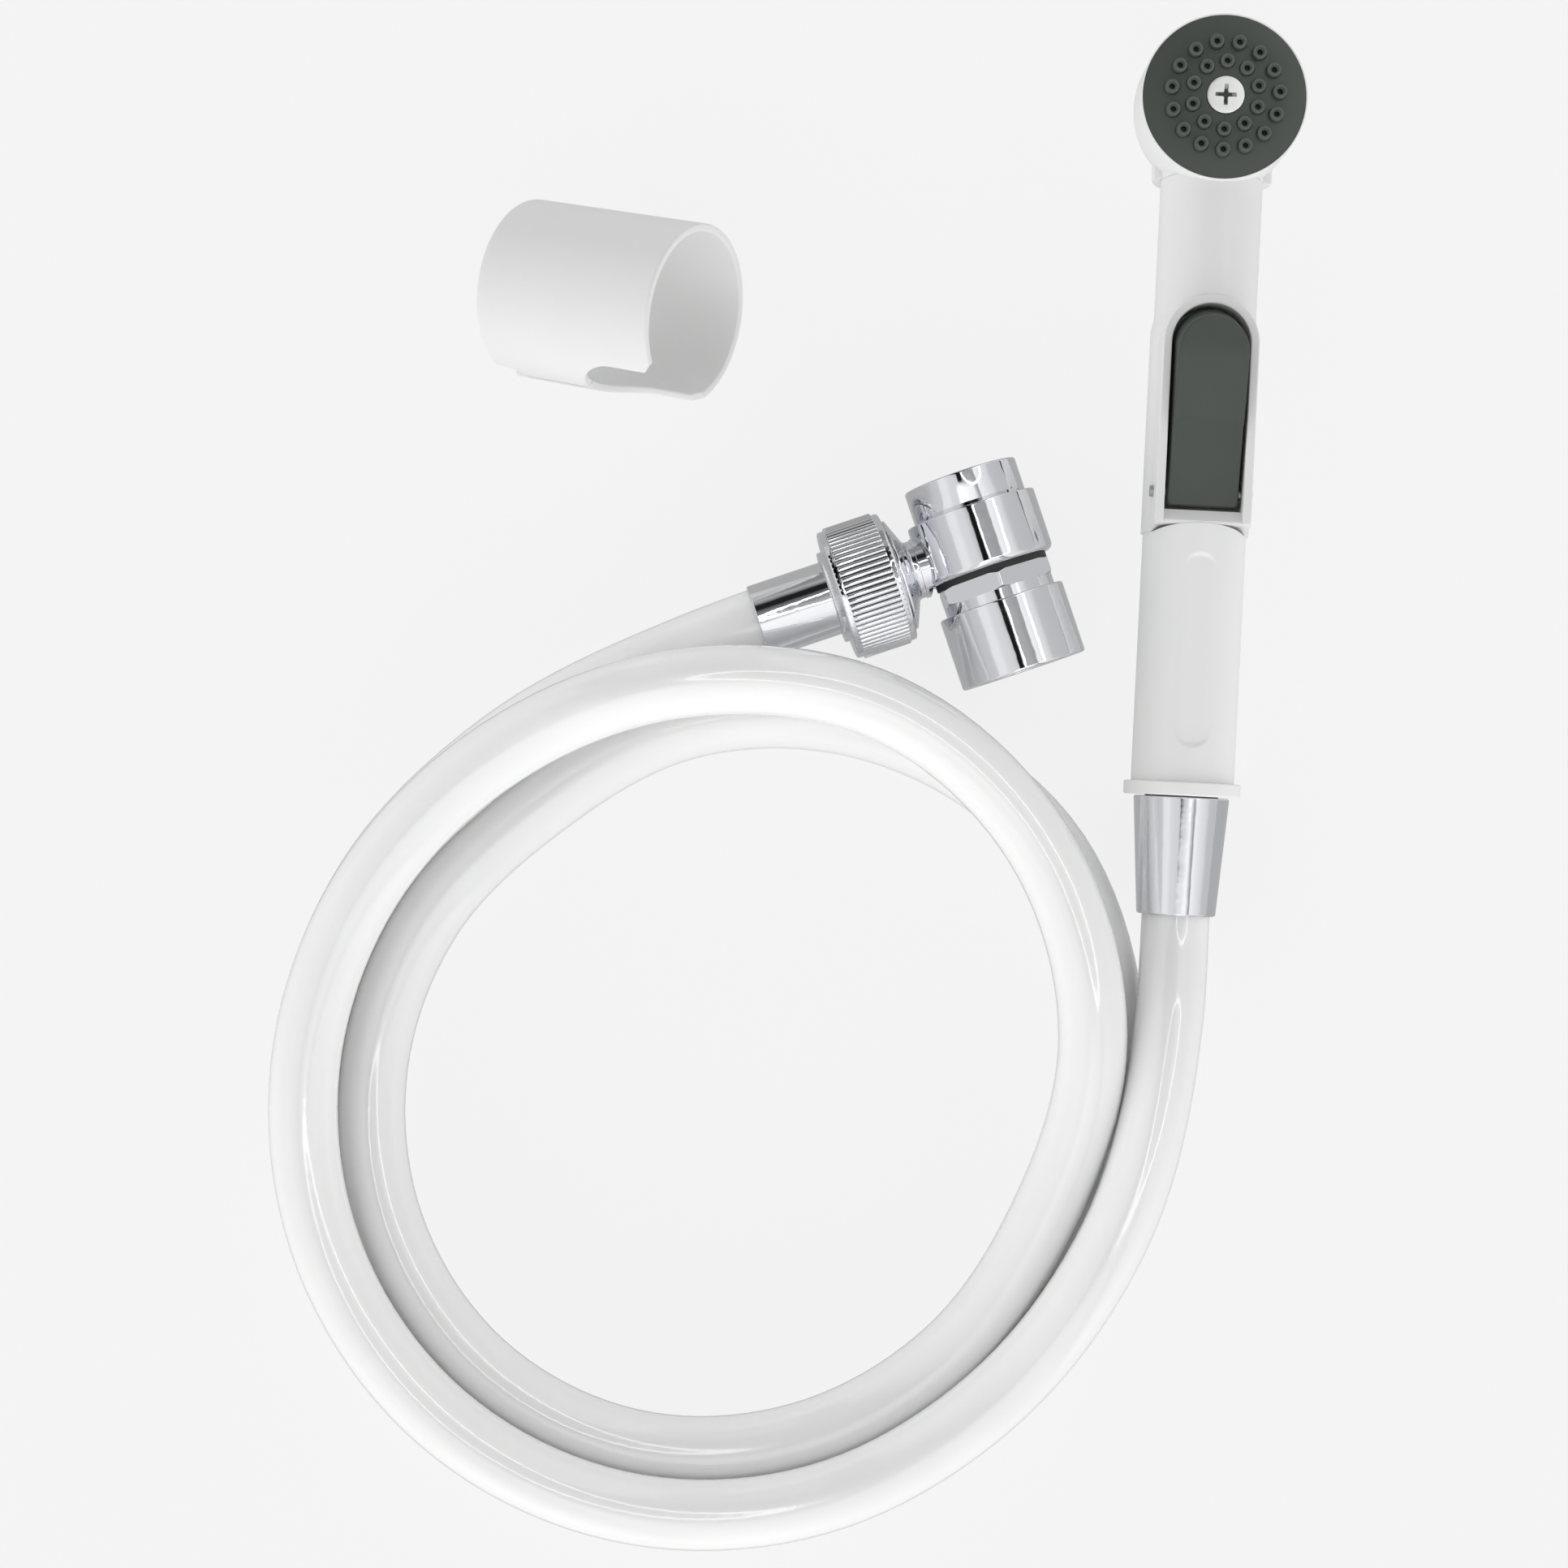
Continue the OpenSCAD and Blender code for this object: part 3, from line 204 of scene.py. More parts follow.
@dataclass(frozen=True)
class Finish:
    """One surface finish.

    Attributes:
        name: the material's name.
        slot: the record's material slot that it belongs to; not used.
        colour: linear base colour.
        roughness: mean roughness.
        metallic: 1 for bare or plated metal.
        coat: weight of the clear gloss over the colour.
        grain: fine texture of the surface.
        shade: how much darker the colour is where dirt and handling dull it.
        spread: how far roughness strays from its mean.
        glow: weight of light that scatters inside the material.
    """

    name: str
    slot: str
    colour: Triple
    roughness: float
    metallic: float = 0.0
    coat: float = 0.0
    grain: Grain = Grain.MOULDED
    shade: float = 0.04
    spread: float = 0.04
    glow: float = 0.0

    def material(self) -> bpy.types.Material:
        """Returns the material, made on first use."""
        found = bpy.data.materials.get(self.name)
        return found or self._make()

    def _make(self) -> bpy.types.Material:
        """Builds the node tree: cloudy colour and roughness, and a fine bump."""
        material = bpy.data.materials.new(self.name)
        tree = Tree(material)
        place = tree.add("ShaderNodeTexCoord").outputs["Object"]
        cloud = tree.noise(place, CLOUD_SCALE, detail=3.0)
        dulled = [c * (1 - self.shade) for c in self.colour]
        tint = tree.mix(cloud, (*self.colour, 1), (*dulled, 1))
        smooth, rough = max(self.roughness - self.spread, 0.01), self.roughness + self.spread
        size, depth = self.grain.value
        fine = tree.noise(place, 1 / (size * MM), detail=2.0)
        relief = {"Height": fine, "Strength": 1.0, "Distance": depth * size * MM}
        looks = {
            "Base Color": tint,
            "Roughness": tree.carry(cloud, CLOUD_SPAN, (smooth, rough)),
            "Metallic": self.metallic,
            "Coat Weight": self.coat,
            "Coat Roughness": COAT_ROUGHNESS,
            "Subsurface Weight": self.glow,
            "Subsurface Radius": GLOW_REACH,
            "Subsurface Scale": GLOW_SCALE,
            "Normal": tree.add("ShaderNodeBump", relief).outputs["Normal"],
        }
        tree.feed(tree.nodes["Principled BSDF"], looks)
        return material


def gloss(name: str, slot: str, colour: Triple, roughness: float = 0.34) -> Finish:
    """Returns the finish of a white moulding."""
    return Finish(name, slot, colour, roughness, glow=0.05)


def satin(name: str, slot: str, colour: Triple, roughness: float, shade: float = 0.04) -> Finish:
    """Returns the finish of dark plastic or rubber."""
    return Finish(name, slot, colour, roughness, grain=Grain.SATIN, shade=shade)


def metal(name: str, slot: str, colour: Triple, roughness: float) -> Finish:
    """Returns the finish of turned bare metal."""
    return Finish(name, slot, colour, roughness, metallic=1.0, grain=Grain.TURNED)


CHARCOAL = (0.049, 0.060, 0.052)

CUP_GLOSS = gloss("cup_gloss_white", "head_housing", (0.82, 0.825, 0.82))
HOUSING_GLOSS = gloss("housing_gloss_white", "handle_body", (0.79, 0.795, 0.79))
GRIP_GLOSS = gloss("grip_soft_white", "grip_sleeve", (0.85, 0.855, 0.85), 0.38)
FLANGE_GLOSS = gloss("flange_gloss_white", "end_flange", (0.88, 0.88, 0.875))
# The sleeve's white is a little darker than the handset's: painted shade that darkens its inside.
SLEEVE_GLOSS = gloss("sleeve_gloss_white", "holder_sleeve", (0.76, 0.765, 0.76))
NATURAL_PLASTIC = gloss("natural_plastic", "inner_plastic", (0.72, 0.70, 0.64), 0.45)
# The hose's white is lighter than the handset's: partly its own colour, partly painted light for
# the brighter light that falls on it.
HOSE_GLOSS = Finish(
    "hose_vinyl_white", "hose", (0.93, 0.933, 0.93), 0.12, coat=0.8, grain=Grain.EXTRUDED, glow=0.1
)
FACE_SATIN = satin("face_satin_charcoal", "spray_face", CHARCOAL, 0.42, shade=0.1)
PADDLE_SATIN = satin("paddle_satin_charcoal", "trigger_paddle", CHARCOAL, 0.40, shade=0.1)
NOZZLE_RUBBER = satin("nozzle_rubber", "nozzle_mat", (0.078, 0.098, 0.082), 0.5, shade=0.12)
# Black plugs set in the nozzles' bores: painted shade for the deep holes.
JET_PAINTED_SHADE = satin("jet_bore_dark", "nozzle_mat", (0.008, 0.008, 0.008), 0.7)
SEAL_RUBBER = satin("seal_rubber_black", "seal", (0.02, 0.02, 0.02), 0.6)
SCREW_STEEL = metal("screw_bright_steel", "steel", (0.80, 0.81, 0.80), 0.42)
PIVOT_STEEL = metal("pivot_steel", "steel", (0.42, 0.43, 0.43), 0.30)
PIN_STEEL = metal("pin_steel", "steel", (0.62, 0.62, 0.61), 0.25)
TURNED_BRASS = metal("turned_brass", "brass", (0.60, 0.44, 0.20), 0.30)
CHROME = Finish(
    "bright_chrome",
    "chrome",
    (0.79, 0.80, 0.83),
    0.05,
    metallic=1.0,
    grain=Grain.PLATED,
    spread=0.02,
    shade=0.02,
)
# Near-black chrome laid on the floors of the knurl's grooves: painted shade.
GROOVE_PAINTED_SHADE = Finish(
    "groove_chrome",
    "chrome",
    (0.05, 0.05, 0.055),
    0.25,
    metallic=1.0,
    grain=Grain.PLATED,
    shade=0.1,
)


# ---------------------------------------------------------------- places


@dataclass(frozen=True)
class Place:
    """A local frame in the row frame: where its origin is, and which way its axes point."""

    origin: Vector
    turn: Matrix

    @classmethod
    def along(cls, origin: Vector, axis: Vector, up: Vector = Vector((0, 0, 1))) -> Place:
        """Returns the frame at origin whose +Y is axis and whose +Z is nearest to up.

        Args:
            origin: where the frame is.
            axis: which way its +Y points.
            up: the direction that its +Z is nearest to.

        Returns:
            The frame.
        """
        y = axis.normalized()
        x = y.cross(up).normalized()
        z = x.cross(y)
        return cls(origin.copy(), Matrix((x, y, z)).transposed())

    def moved(self, x: float = 0.0, y: float = 0.0, z: float = 0.0) -> Place:
        """Returns this frame moved by millimetres along its own axes."""
        return Place(self.origin + self.turn @ Vector((x, y, z)) * MM, self.turn)

    def standing(self) -> Place:
        """Returns this frame turned so that its +Y points along the old +Z."""
        return Place(self.origin, self.turn @ Matrix.Rotation(math.pi / 2, 3, "X"))

    def to_row(self, point: Sequence[float]) -> Vector:
        """Returns a local point in millimetres as a row-frame point in metres."""
        return self.origin + self.turn @ Vector(point) * MM


@dataclass(frozen=True)
class Layout:
    """The frames of the main groups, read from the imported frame.

    Attributes:
        handset: origin on the handset's axis at the end flange's lower face, +Y to the head.
        diverter: origin where the diverter's two axes cross, +Y to the tap, -X to the hose.
        sleeve: origin on the sleeve's axis at its rear end, +Y to its mouth.
    """

    handset: Place
    diverter: Place
    sleeve: Place

    @classmethod
    def read(cls, frame: dict) -> Layout:
        """Returns the layout that the joints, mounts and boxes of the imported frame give.

        Args:
            frame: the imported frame.

        Returns:
            The layout.
        """
        joints = {joint["name"]: joint for joint in frame["joints"]}
        mounts = {mount["name"]: mount for mount in frame["record"]["mounts"]}
        nut = Vector(joints["hose_nut_spin"]["pos_m"])
        flange_low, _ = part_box("end_flange")
        start = Vector((nut.x, flange_low[1], nut.z))
        junction = Vector(joints["knurled_nut_spin"]["pos_m"])
        spout = Vector(joints["pull_ring_slide"]["axis"])
        bore = mounts["holder_bore"]
        mouth = Vector(bore["axis"]).normalized()
        rear = Vector(bore["pos_m"]) - mouth * bore["dims"]["length_mm"] / 2 * MM
        return cls(
            Place.along(start, Vector((0, 1, 0))),
            Place.along(junction, -spout),
            Place.along(rear, mouth),
        )


# ---------------------------------------------------------------- forms


@dataclass
class Form:
    """Points in millimetres and the faces that join them."""

    points: list[Triple] = field(default_factory=list)
    faces: list[tuple[int, ...]] = field(default_factory=list)

    def add(self, other: Form) -> Form:
        """Adds another form's points and faces to this one.

        Args:
            other: the form to add.

        Returns:
            This form.
        """
        start = len(self.points)
        self.points.extend(other.points)
        self.faces.extend(tuple(i + start for i in face) for face in other.faces)
        return self

    def shifted(self, x: float = 0.0, y: float = 0.0, z: float = 0.0) -> Form:
        """Returns a copy moved by millimetres."""
        return Form([(p[0] + x, p[1] + y, p[2] + z) for p in self.points], list(self.faces))

    def turned(self, degrees: float, axis: str) -> Form:
        """Returns a copy turned about one of its own axes."""
        turn = Matrix.Rotation(math.radians(degrees), 3, axis)
        return Form([tuple(turn @ Vector(p)) for p in self.points], list(self.faces))

    def mirrored(self) -> Form:
        """Returns a copy mirrored left to right."""
        return Form([(-x, y, z) for x, y, z in self.points], [face[::-1] for face in self.faces])

    def build(self, name: str, place: Place, even: bool = True) -> bpy.types.Object:
        """Makes a smooth mesh object of this form.

        Args:
            name: the object's name.
            place: the local frame that the points are in.
            even: weights normals by face area, so that flats beside a rounding stay flat.

        Returns:
            The new object, linked to the scene.
        """
        mesh = bpy.data.meshes.new(name)
        mesh.from_pydata([place.to_row(p) for p in self.points], [], self.faces)
        clean(mesh)
        mesh.shade_smooth()
        made = bpy.data.objects.new(name, mesh)
        bpy.context.scene.collection.objects.link(made)
        if even:
            even_normals(made)
        return made


def clean(mesh: bpy.types.Mesh) -> None:
    """Joins coinciding points and turns all faces outward.

    Args:
        mesh: the mesh to clean.
    """
    work = bmesh.new()
    work.from_mesh(mesh)
    bmesh.ops.remove_doubles(work, verts=work.verts, dist=MERGE_REACH)
    bmesh.ops.recalc_face_normals(work, faces=work.faces)
    work.to_mesh(mesh)
    work.free()


def add_modifier(target: bpy.types.Object, kind: str, **settings: object) -> bpy.types.Modifier:
    """Adds a modifier to an object.

    Args:
        target: the object that gets it.
        kind: Blender's name for the kind of modifier.
        settings: its properties.

    Returns:
        The modifier.
    """
    modifier = target.modifiers.new(kind.lower(), kind)
    for key, value in settings.items():
        setattr(modifier, key, value)
    return modifier


def even_normals(target: bpy.types.Object) -> None:
    """Weights an object's normals by face area, so that flats beside a rounding stay flat."""
    add_modifier(target, "WEIGHTED_NORMAL", keep_sharp=True, weight=60)


def rounded(corners: Sequence[Triple], closed: bool = True, steps: int = 5) -> list[Pair]:
    """Returns an outline with its corners rounded.

    Args:
        corners: (a, b, radius) for each corner, with radius 0 for a sharp one.
        closed: whether the last corner joins the first.
        steps: spans in each rounding.

    Returns:
        The outline's points.
    """
    outline: list[Pair] = []
    count = len(corners)
    for i, (a, b, radius) in enumerate(corners):
        here = Vector((a, b))
        if radius <= 0 or (not closed and i in (0, count - 1)):
            outline.append((a, b))
            continue
        before = Vector(corners[i - 1][:2]) - here
        after = Vector(corners[(i + 1) % count][:2]) - here
        angle = before.angle(after)
        if angle > math.pi - 0.02:
            outline.append((a, b))
            continue
        reach = min(radius / math.tan(angle / 2), before.length * 0.48, after.length * 0.48)
        radius = reach * math.tan(angle / 2)
        u, w = before.normalized(), after.normalized()
        centre = here + (u + w).normalized() * radius / math.sin(angle / 2)
        first, last = here + u * reach - centre, here + w * reach - centre
        sweep = first.angle(last)
        for k in range(steps + 1):
            t = k / steps
            spread = first * math.sin((1 - t) * sweep) + last * math.sin(t * sweep)
            outline.append(tuple(centre + spread / math.sin(sweep)))
    return outline


def arc(centre: Pair, radius: float, start: float, end: float, steps: int) -> list[Pair]:
    """Returns points on an arc.

    Args:
        centre: the arc's centre.
        radius: its radius.
        start: bearing of its first point, in degrees.
        end: bearing of its last point, in degrees.
        steps: the number of spans.

    Returns:
        The points from start to end.
    """
    bearings = [math.radians(start + (end - start) * k / steps) for k in range(steps + 1)]
    return [(centre[0] + radius * math.cos(t), centre[1] + radius * math.sin(t)) for t in bearings]


def spun(
    profile: Sequence[Pair],
    columns: int,
    reach: Callable[[float, float], float] = lambda radius, bearing: radius,
) -> list[list[Triple]]:
    """Returns rows of points round +Y, one row for each point of a profile.

    Args:
        profile: (radius, y) points.
        columns: points in each row.
        reach: gives a point's distance from the axis, from its radius and bearing.

    Returns:
        The rows.
    """
    rows = []
    for radius, y in profile:
        row = []
        for k in range(columns):
            bearing = 2 * math.pi * k / columns
            out = reach(radius, bearing)
            row.append((out * math.cos(bearing), y, out * math.sin(bearing)))
        rows.append(row)
    return rows


def lathe(outline: Sequence[Pair], closed: bool = True, segments: int = 96) -> Form:
    """Returns a solid turned about +Y.

    Args:
        outline: (radius, y) points.
        closed: whether the outline is a ring that stays off the axis.
        segments: facets round the axis.

    Returns:
        The turned form.
    """
    return loft(spun(outline, segments), join_ends=closed)


def bar(radius: float, low: float, high: float, segments: int = 96) -> Form:
    """Returns a round bar about +Y."""
    outline = [(0, low), (radius, low), (radius, high), (0, high)]
    return lathe(outline, closed=False, segments=segments)


def loft(
    rows: Sequence[Sequence[Triple]],
    round_rows: bool = True,
    join_ends: bool = False,
    cap: bool = False,
) -> Form:
    """Returns the surface through rows of points.

    Args:
        rows: rows with the same number of points.
        round_rows: whether each row is a ring.
        join_ends: whether the last row joins the first.
        cap: whether the first and last rows are closed with a face.

    Returns:
        The form.
    """
    width = len(rows[0])
    points = [tuple(point) for row in rows for point in row]
    faces: list[tuple[int, ...]] = []
    for i in range(len(rows) if join_ends else len(rows) - 1):
        for k in range(width if round_rows else width - 1):
            a, b = i * width, ((i + 1) % len(rows)) * width
            after = (k + 1) % width
            faces.append((a + k, a + after, b + after, b + k))
    if cap:
        faces.append(tuple(range(width - 1, -1, -1)))
        faces.append(tuple(range((len(rows) - 1) * width, len(rows) * width)))
    return Form(points, faces)


def carve(base: Form, place: Place, name: str, cut: Iterable[Form]) -> bpy.types.Object:
    """Takes solids away from a solid.

    Args:
        base: the solid that is cut.
        place: the local frame of all of them.
        name: the new object's name.
        cut: solids taken away.

    Returns:
        The finished object, with its cuts applied.
    """
    work = base.build(name + "_work", place, even=False)
    helpers: list[bpy.types.Object] = []
    for form in cut:
        helper = form.build(name + "_helper", place, even=False)
        helpers.append(helper)
        add_modifier(work, "BOOLEAN", operation="DIFFERENCE", object=helper, solver="EXACT")
    bpy.context.view_layer.update()
    ready = work.evaluated_get(bpy.context.evaluated_depsgraph_get())
    mesh = bpy.data.meshes.new_from_object(ready)
    mesh.name = name
    mesh.shade_smooth()
    made = bpy.data.objects.new(name, mesh)
    bpy.context.scene.collection.objects.link(made)
    for helper in [work, *helpers]:
        bpy.data.objects.remove(helper)
    return made


def soften_edges(piece: bpy.types.Object, width: float, angle: float = CORNER_ANGLE) -> None:
    """Rounds a piece's sharp edges with modifiers.

    Args:
        piece: the piece to soften.
        width: rounding in millimetres.
        angle: smallest angle in degrees between the faces of an edge that is rounded.
    """
    add_modifier(piece, "WELD", merge_threshold=MERGE_REACH)
    add_modifier(
        piece,
        "BEVEL",
        width=width * MM,
        segments=3,
        limit_method="ANGLE",
        angle_limit=math.radians(angle),
        use_clamp_overlap=True,
    )
    even_normals(piece)


def smoothstep(value: float) -> float:
    """Returns 0 below 0, 1 above 1, and a smooth ramp between."""
    value = min(max(value, 0.0), 1.0)
    return value * value * (3 - 2 * value)


# ---------------------------------------------------------------- assemblies


@dataclass
class Assembly:
    """A group of pieces that stand for CAD nodes."""

    layout: Layout
    frame: dict

    def place_piece(
        self,
        piece: bpy.types.Object,
        body: str,
        finish: Finish,
        *replaced: str,
    ) -> bpy.types.Object:
        """Gives a piece its finish, the body it rides on and the nodes it stands for.

        Args:
            piece: the piece.
            body: name of the body that carries it.
            finish: its surface finish.
            replaced: CAD nodes that it stands for.

        Returns:
            The same piece.
        """
        piece.data.materials.clear()
        piece.data.materials.append(finish.material())
        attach(piece, body)
        if replaced:
            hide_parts(*replaced)
        LOG.info("%s rides on %s in %s", piece.name, body, finish.name)
        return piece

    def dress(self, finish: Finish, *nodes: str, edge: float = 0.0) -> None:
        """Gives CAD nodes a finish, and rounds their edges if edge is more than 0.

        Args:
            finish: their surface finish.
            nodes: the nodes' names.
            edge: rounding of their edges in millimetres.
        """
        for node in nodes:
            target = self.frame["nodes"][node]
            if not target.material_slots:
                target.data.materials.append(finish.material())
            for slot in target.material_slots:
                slot.material = finish.material()
            if edge:
                soften_edges(target, edge)
            LOG.info("%s is dressed in %s", node, finish.name)


@dataclass
class SprayHead(Assembly):
    """The cup with its face plate, rubber nozzles and screw.

    Heights are above the handset's axis, and places along the handset are from its end flange.
    """

    centre: float = 156.2
    cup_r: float = 18.6
    rim: float = 12.7
    rim_gap: float = 0.05
    face_r: float = 18.2
    face_depth: float = 0.9
    face_edge: float = 0.25
    face_top: float = 14.2
    back: float = -13.2
    back_flat_r: float = 8.0
    shoulder: float = 1.0
    tube_r: float = 11.5
    tube_end: float = 139.85
    socket_depth: float = 12.0
    ear_r: float = 13.6
    ear_top: float = 1.0
    ear_bottom: float = -10.5
    ear_length: float = 7.0
    ear_wall: float = 1.5
    ear_edge: float = 0.45
    outer_jets: int = 15
    outer_ring: float = 12.1
    inner_jets: int = 10
    inner_ring: float = 7.6
    nozzle_r: float = 1.65
    nozzle_top: float = 15.0
    nozzle_gap: float = 0.06
    mat_r: float = 15.0
    mat_t: float = 1.6
    jet_r: float = 0.62
    jet_depth: float = 1.9
    dish: float = 0.42
    screw_r: float = 4.2
    screw_seat: float = 13.4
    screw_top: float = 14.6
    screw_gap: float = 0.12
    screw_dome: float = 0.25
    shank_r: float = 1.25
    shank_length: float = 10.0
    cross_length: float = 4.7
    cross_width: float = 0.9
    cross_depth: float = 1.5
    screw_edge: float = 0.07
    plate_edge: float = 0.12
    cut_top: float = 20.0
    facets: int = 144

    def build(self) -> None:
        """Makes and dresses the head's pieces."""
        head = self.layout.handset.moved(y=self.centre).standing()
        self._cup(head)
        self._neck(self.layout.handset.moved(y=self.tube_end))
        self._face(head)
        self._nozzles(head)
        self._screw(head)
        self.dress(SEAL_RUBBER, "face_gasket", "neck_o_ring")

    @property
    def _seat(self) -> float:
        """Height of the seat that the face plate lies on."""
        return self.rim - self.face_depth

    def _cup(self, head: Place) -> None:
        """Makes the cup: a round back, a straight wall and a rim that stands round the face.

        Args:
            head: the frame that stands on the head's axis.
        """
        run, drop = self.cup_r - self.back_flat_r, self.shoulder - self.back
        back = [(0.0, self.back)]
        for turn in (math.radians(90 - 90 * k / 24) for k in range(25)):
            out = self.back_flat_r + run * math.cos(turn)
            back.append((out, self.shoulder - drop * math.sin(turn)))
        inside = self.face_r + self.rim_gap
        rim = rounded(
            [
                (self.cup_r, self.shoulder + 1, 0),
                (self.cup_r, self.rim, 0.16),
                (inside, self.rim, 0.12),
                (inside, self._seat, 0),
                (0, self._seat, 0),
            ],
            closed=False,
        )
        cup = lathe(back + rim, closed=False, segments=self.facets)
        self.place_piece(cup.build("head_cup", head), "sprayer", CUP_GLOSS, "head_housing")

    def _neck(self, place: Place) -> None:
        """Makes the socket that takes the handle's tube, and the two ears beside it.

        Args:
            place: the frame at the end of the handle's tube.
        """
        corners = [
            (0, 0, 0),
            (self.tube_r, 0, 0.25),
            (self.tube_r, self.socket_depth, 0),
            (0, self.socket_depth, 0),
        ]
        neck = lathe(rounded(corners, closed=False)).build("head_neck_socket", place)
        self.place_piece(neck, "sprayer", CUP_GLOSS)
        ear = self._ear()
        for name, form in (("head_ear_left", ear), ("head_ear_right", ear.mirrored())):
            tab = form.build(name, place, even=False)
            soften_edges(tab, self.ear_edge)
            self.place_piece(tab, "sprayer", CUP_GLOSS)

    def _ear(self) -> Form:
        """Returns the left ear, a slice of a wider ring."""
        low = -math.degrees(math.asin(-self.ear_bottom / self.ear_r))
        high = math.degrees(math.asin(self.ear_top / self.ear_r))
        curve = arc((0, 0), self.ear_r, 180 - high, 180 - low, 10)
        outline = [(-(self.tube_r - self.ear_wall), self.ear_top)] + curve
        outline += [(curve[-1][0] + self.ear_wall, self.ear_bottom)]
        rows = [[(x, y, z) for x, z in outline] for y in (0.0, self.ear_length)]
        return loft(rows, cap=True)

    def _face(self, head: Place) -> None:
        """Makes the dark face plate, with a hole for each nozzle and a seat for the screw.

        Args:
            head: the frame that stands on the head's axis.
        """
        foot, flat_r = self._seat + 0.02, self.face_r - self.face_edge
        outline = [(0.0, foot), (self.face_r, foot), (self.face_r, self.rim - self.face_edge)]
        outline += arc((flat_r, self.rim - self.face_edge), self.face_edge, 15, 75, 4)
        for k in range(25):
            out = 1 - k / 24
            outline.append((flat_r * out, self.rim + (self.face_top - self.rim) * (1 - out**2)))
        hole = bar(self.nozzle_r + self.nozzle_gap, self._seat + 0.2, self.cut_top, 32)
        cuts = [hole.shifted(x=x, z=z) for x, z in self._jet_places()]
        cuts.append(bar(self.screw_r + self.screw_gap, self.screw_seat, self.cut_top, 64))
        plate = lathe(outline, closed=False, segments=self.facets)
        face = carve(plate, head, "spray_face_plate", cuts)
        soften_edges(face, self.plate_edge, angle=50)
        self.place_piece(face, "sprayer", FACE_SATIN, "spray_face")

    def _jet_places(self) -> list[Pair]:
        """Returns where the nozzles stand, in the standing frame's X and Z."""
        places: list[Pair] = []
        for count, radius, start in (
            (self.outer_jets, self.outer_ring, 0.5),
            (self.inner_jets, self.inner_ring, 0.0),
        ):
            for i in range(count):
                bearing = 2 * math.pi * (i + start) / count
                places.append((-radius * math.sin(bearing), -radius * math.cos(bearing)))
        return places

    def _nozzles(self, head: Place) -> None:
        """Makes the rubber nozzles, each with a rounded lip, a dished mouth and a black plug low in
        its bore, painted shade for the deep hole.

        Args:
            head: the frame that stands on the head's axis.
        """
        top, seat = self.nozzle_top, self._seat
        corners = [
            (0, seat, 0),
            (self.nozzle_r, seat, 0),
            (self.nozzle_r, seat + 1, 0),
            (self.nozzle_r - 0.08, top, 0.42),
            (self.jet_r + 0.32, top, 0.10),
            (self.jet_r + 0.22, top - self.dish, 0.12),
            (self.jet_r, top - self.dish - 0.06, 0.05),
            (self.jet_r, top - self.jet_depth, 0),
            (0, top - self.jet_depth, 0),
        ]
        nub = lathe(rounded(corners, closed=False), closed=False, segments=32)
        # A black plug low in each bore: painted shade for the hole's depth.
        shade_plug = bar(self.jet_r, top - self.jet_depth + 0.02, top - 1.0, 24)
        mat = bar(self.mat_r, seat - self.mat_t, seat, 72)
        bore_shades = Form()
        for x, z in self._jet_places():
            mat.add(nub.shifted(x=x, z=z))
            bore_shades.add(shade_plug.shifted(x=x, z=z))
        nozzles = mat.build("rubber_nozzles", head)
        self.place_piece(nozzles, "sprayer", NOZZLE_RUBBER, "nozzle_mat")
        dark = bore_shades.build("nozzle_bores", head, even=False)
        self.place_piece(dark, "sprayer", JET_PAINTED_SHADE)

    def _screw(self, head: Place) -> None:
        """Makes the face screw with its cross recess.

        Args:
            head: the frame that stands on the head's axis.
        """
        seat, top, high = self.screw_seat, self.screw_top, self.screw_top + 1
        shank_foot = seat - self.shank_length
        outline = [(0, shank_foot), (self.shank_r, shank_foot), (self.shank_r, seat)]
        outline += [(self.screw_r, seat), (self.screw_r, top - 0.42)]
        for k in range(11):
            turn = math.radians(80 * (1 - k / 10))
            height = top - self.screw_dome + self.screw_dome * math.cos(turn) ** 0.5
            outline.append((self.screw_r * math.sin(turn), height))
        half, wide = self.cross_length / 2, self.cross_width / 2
        foot, step = top - self.cross_depth, top - 0.05
        side = [(-half, high), (-half, step), (-half * 0.55, foot)]
        side += [(-x, y) for x, y in reversed(side)]
        arm = loft([[(x, y, z) for x, y in side] for z in (-wide, wide)], cap=True)
        core = [(0, foot - 0.2), (0.55, foot), (0.95, high), (0, high)]
        cuts = [arm.turned(turn, "Y") for turn in (0, 90)]
        cuts.append(lathe(core, closed=False, segments=24))
        screw = carve(lathe(outline, closed=False), head, "face_screw_head", cuts)
        soften_edges(screw, self.screw_edge, angle=40)
        self.place_piece(screw, "sprayer", SCREW_STEEL, "face_screw")


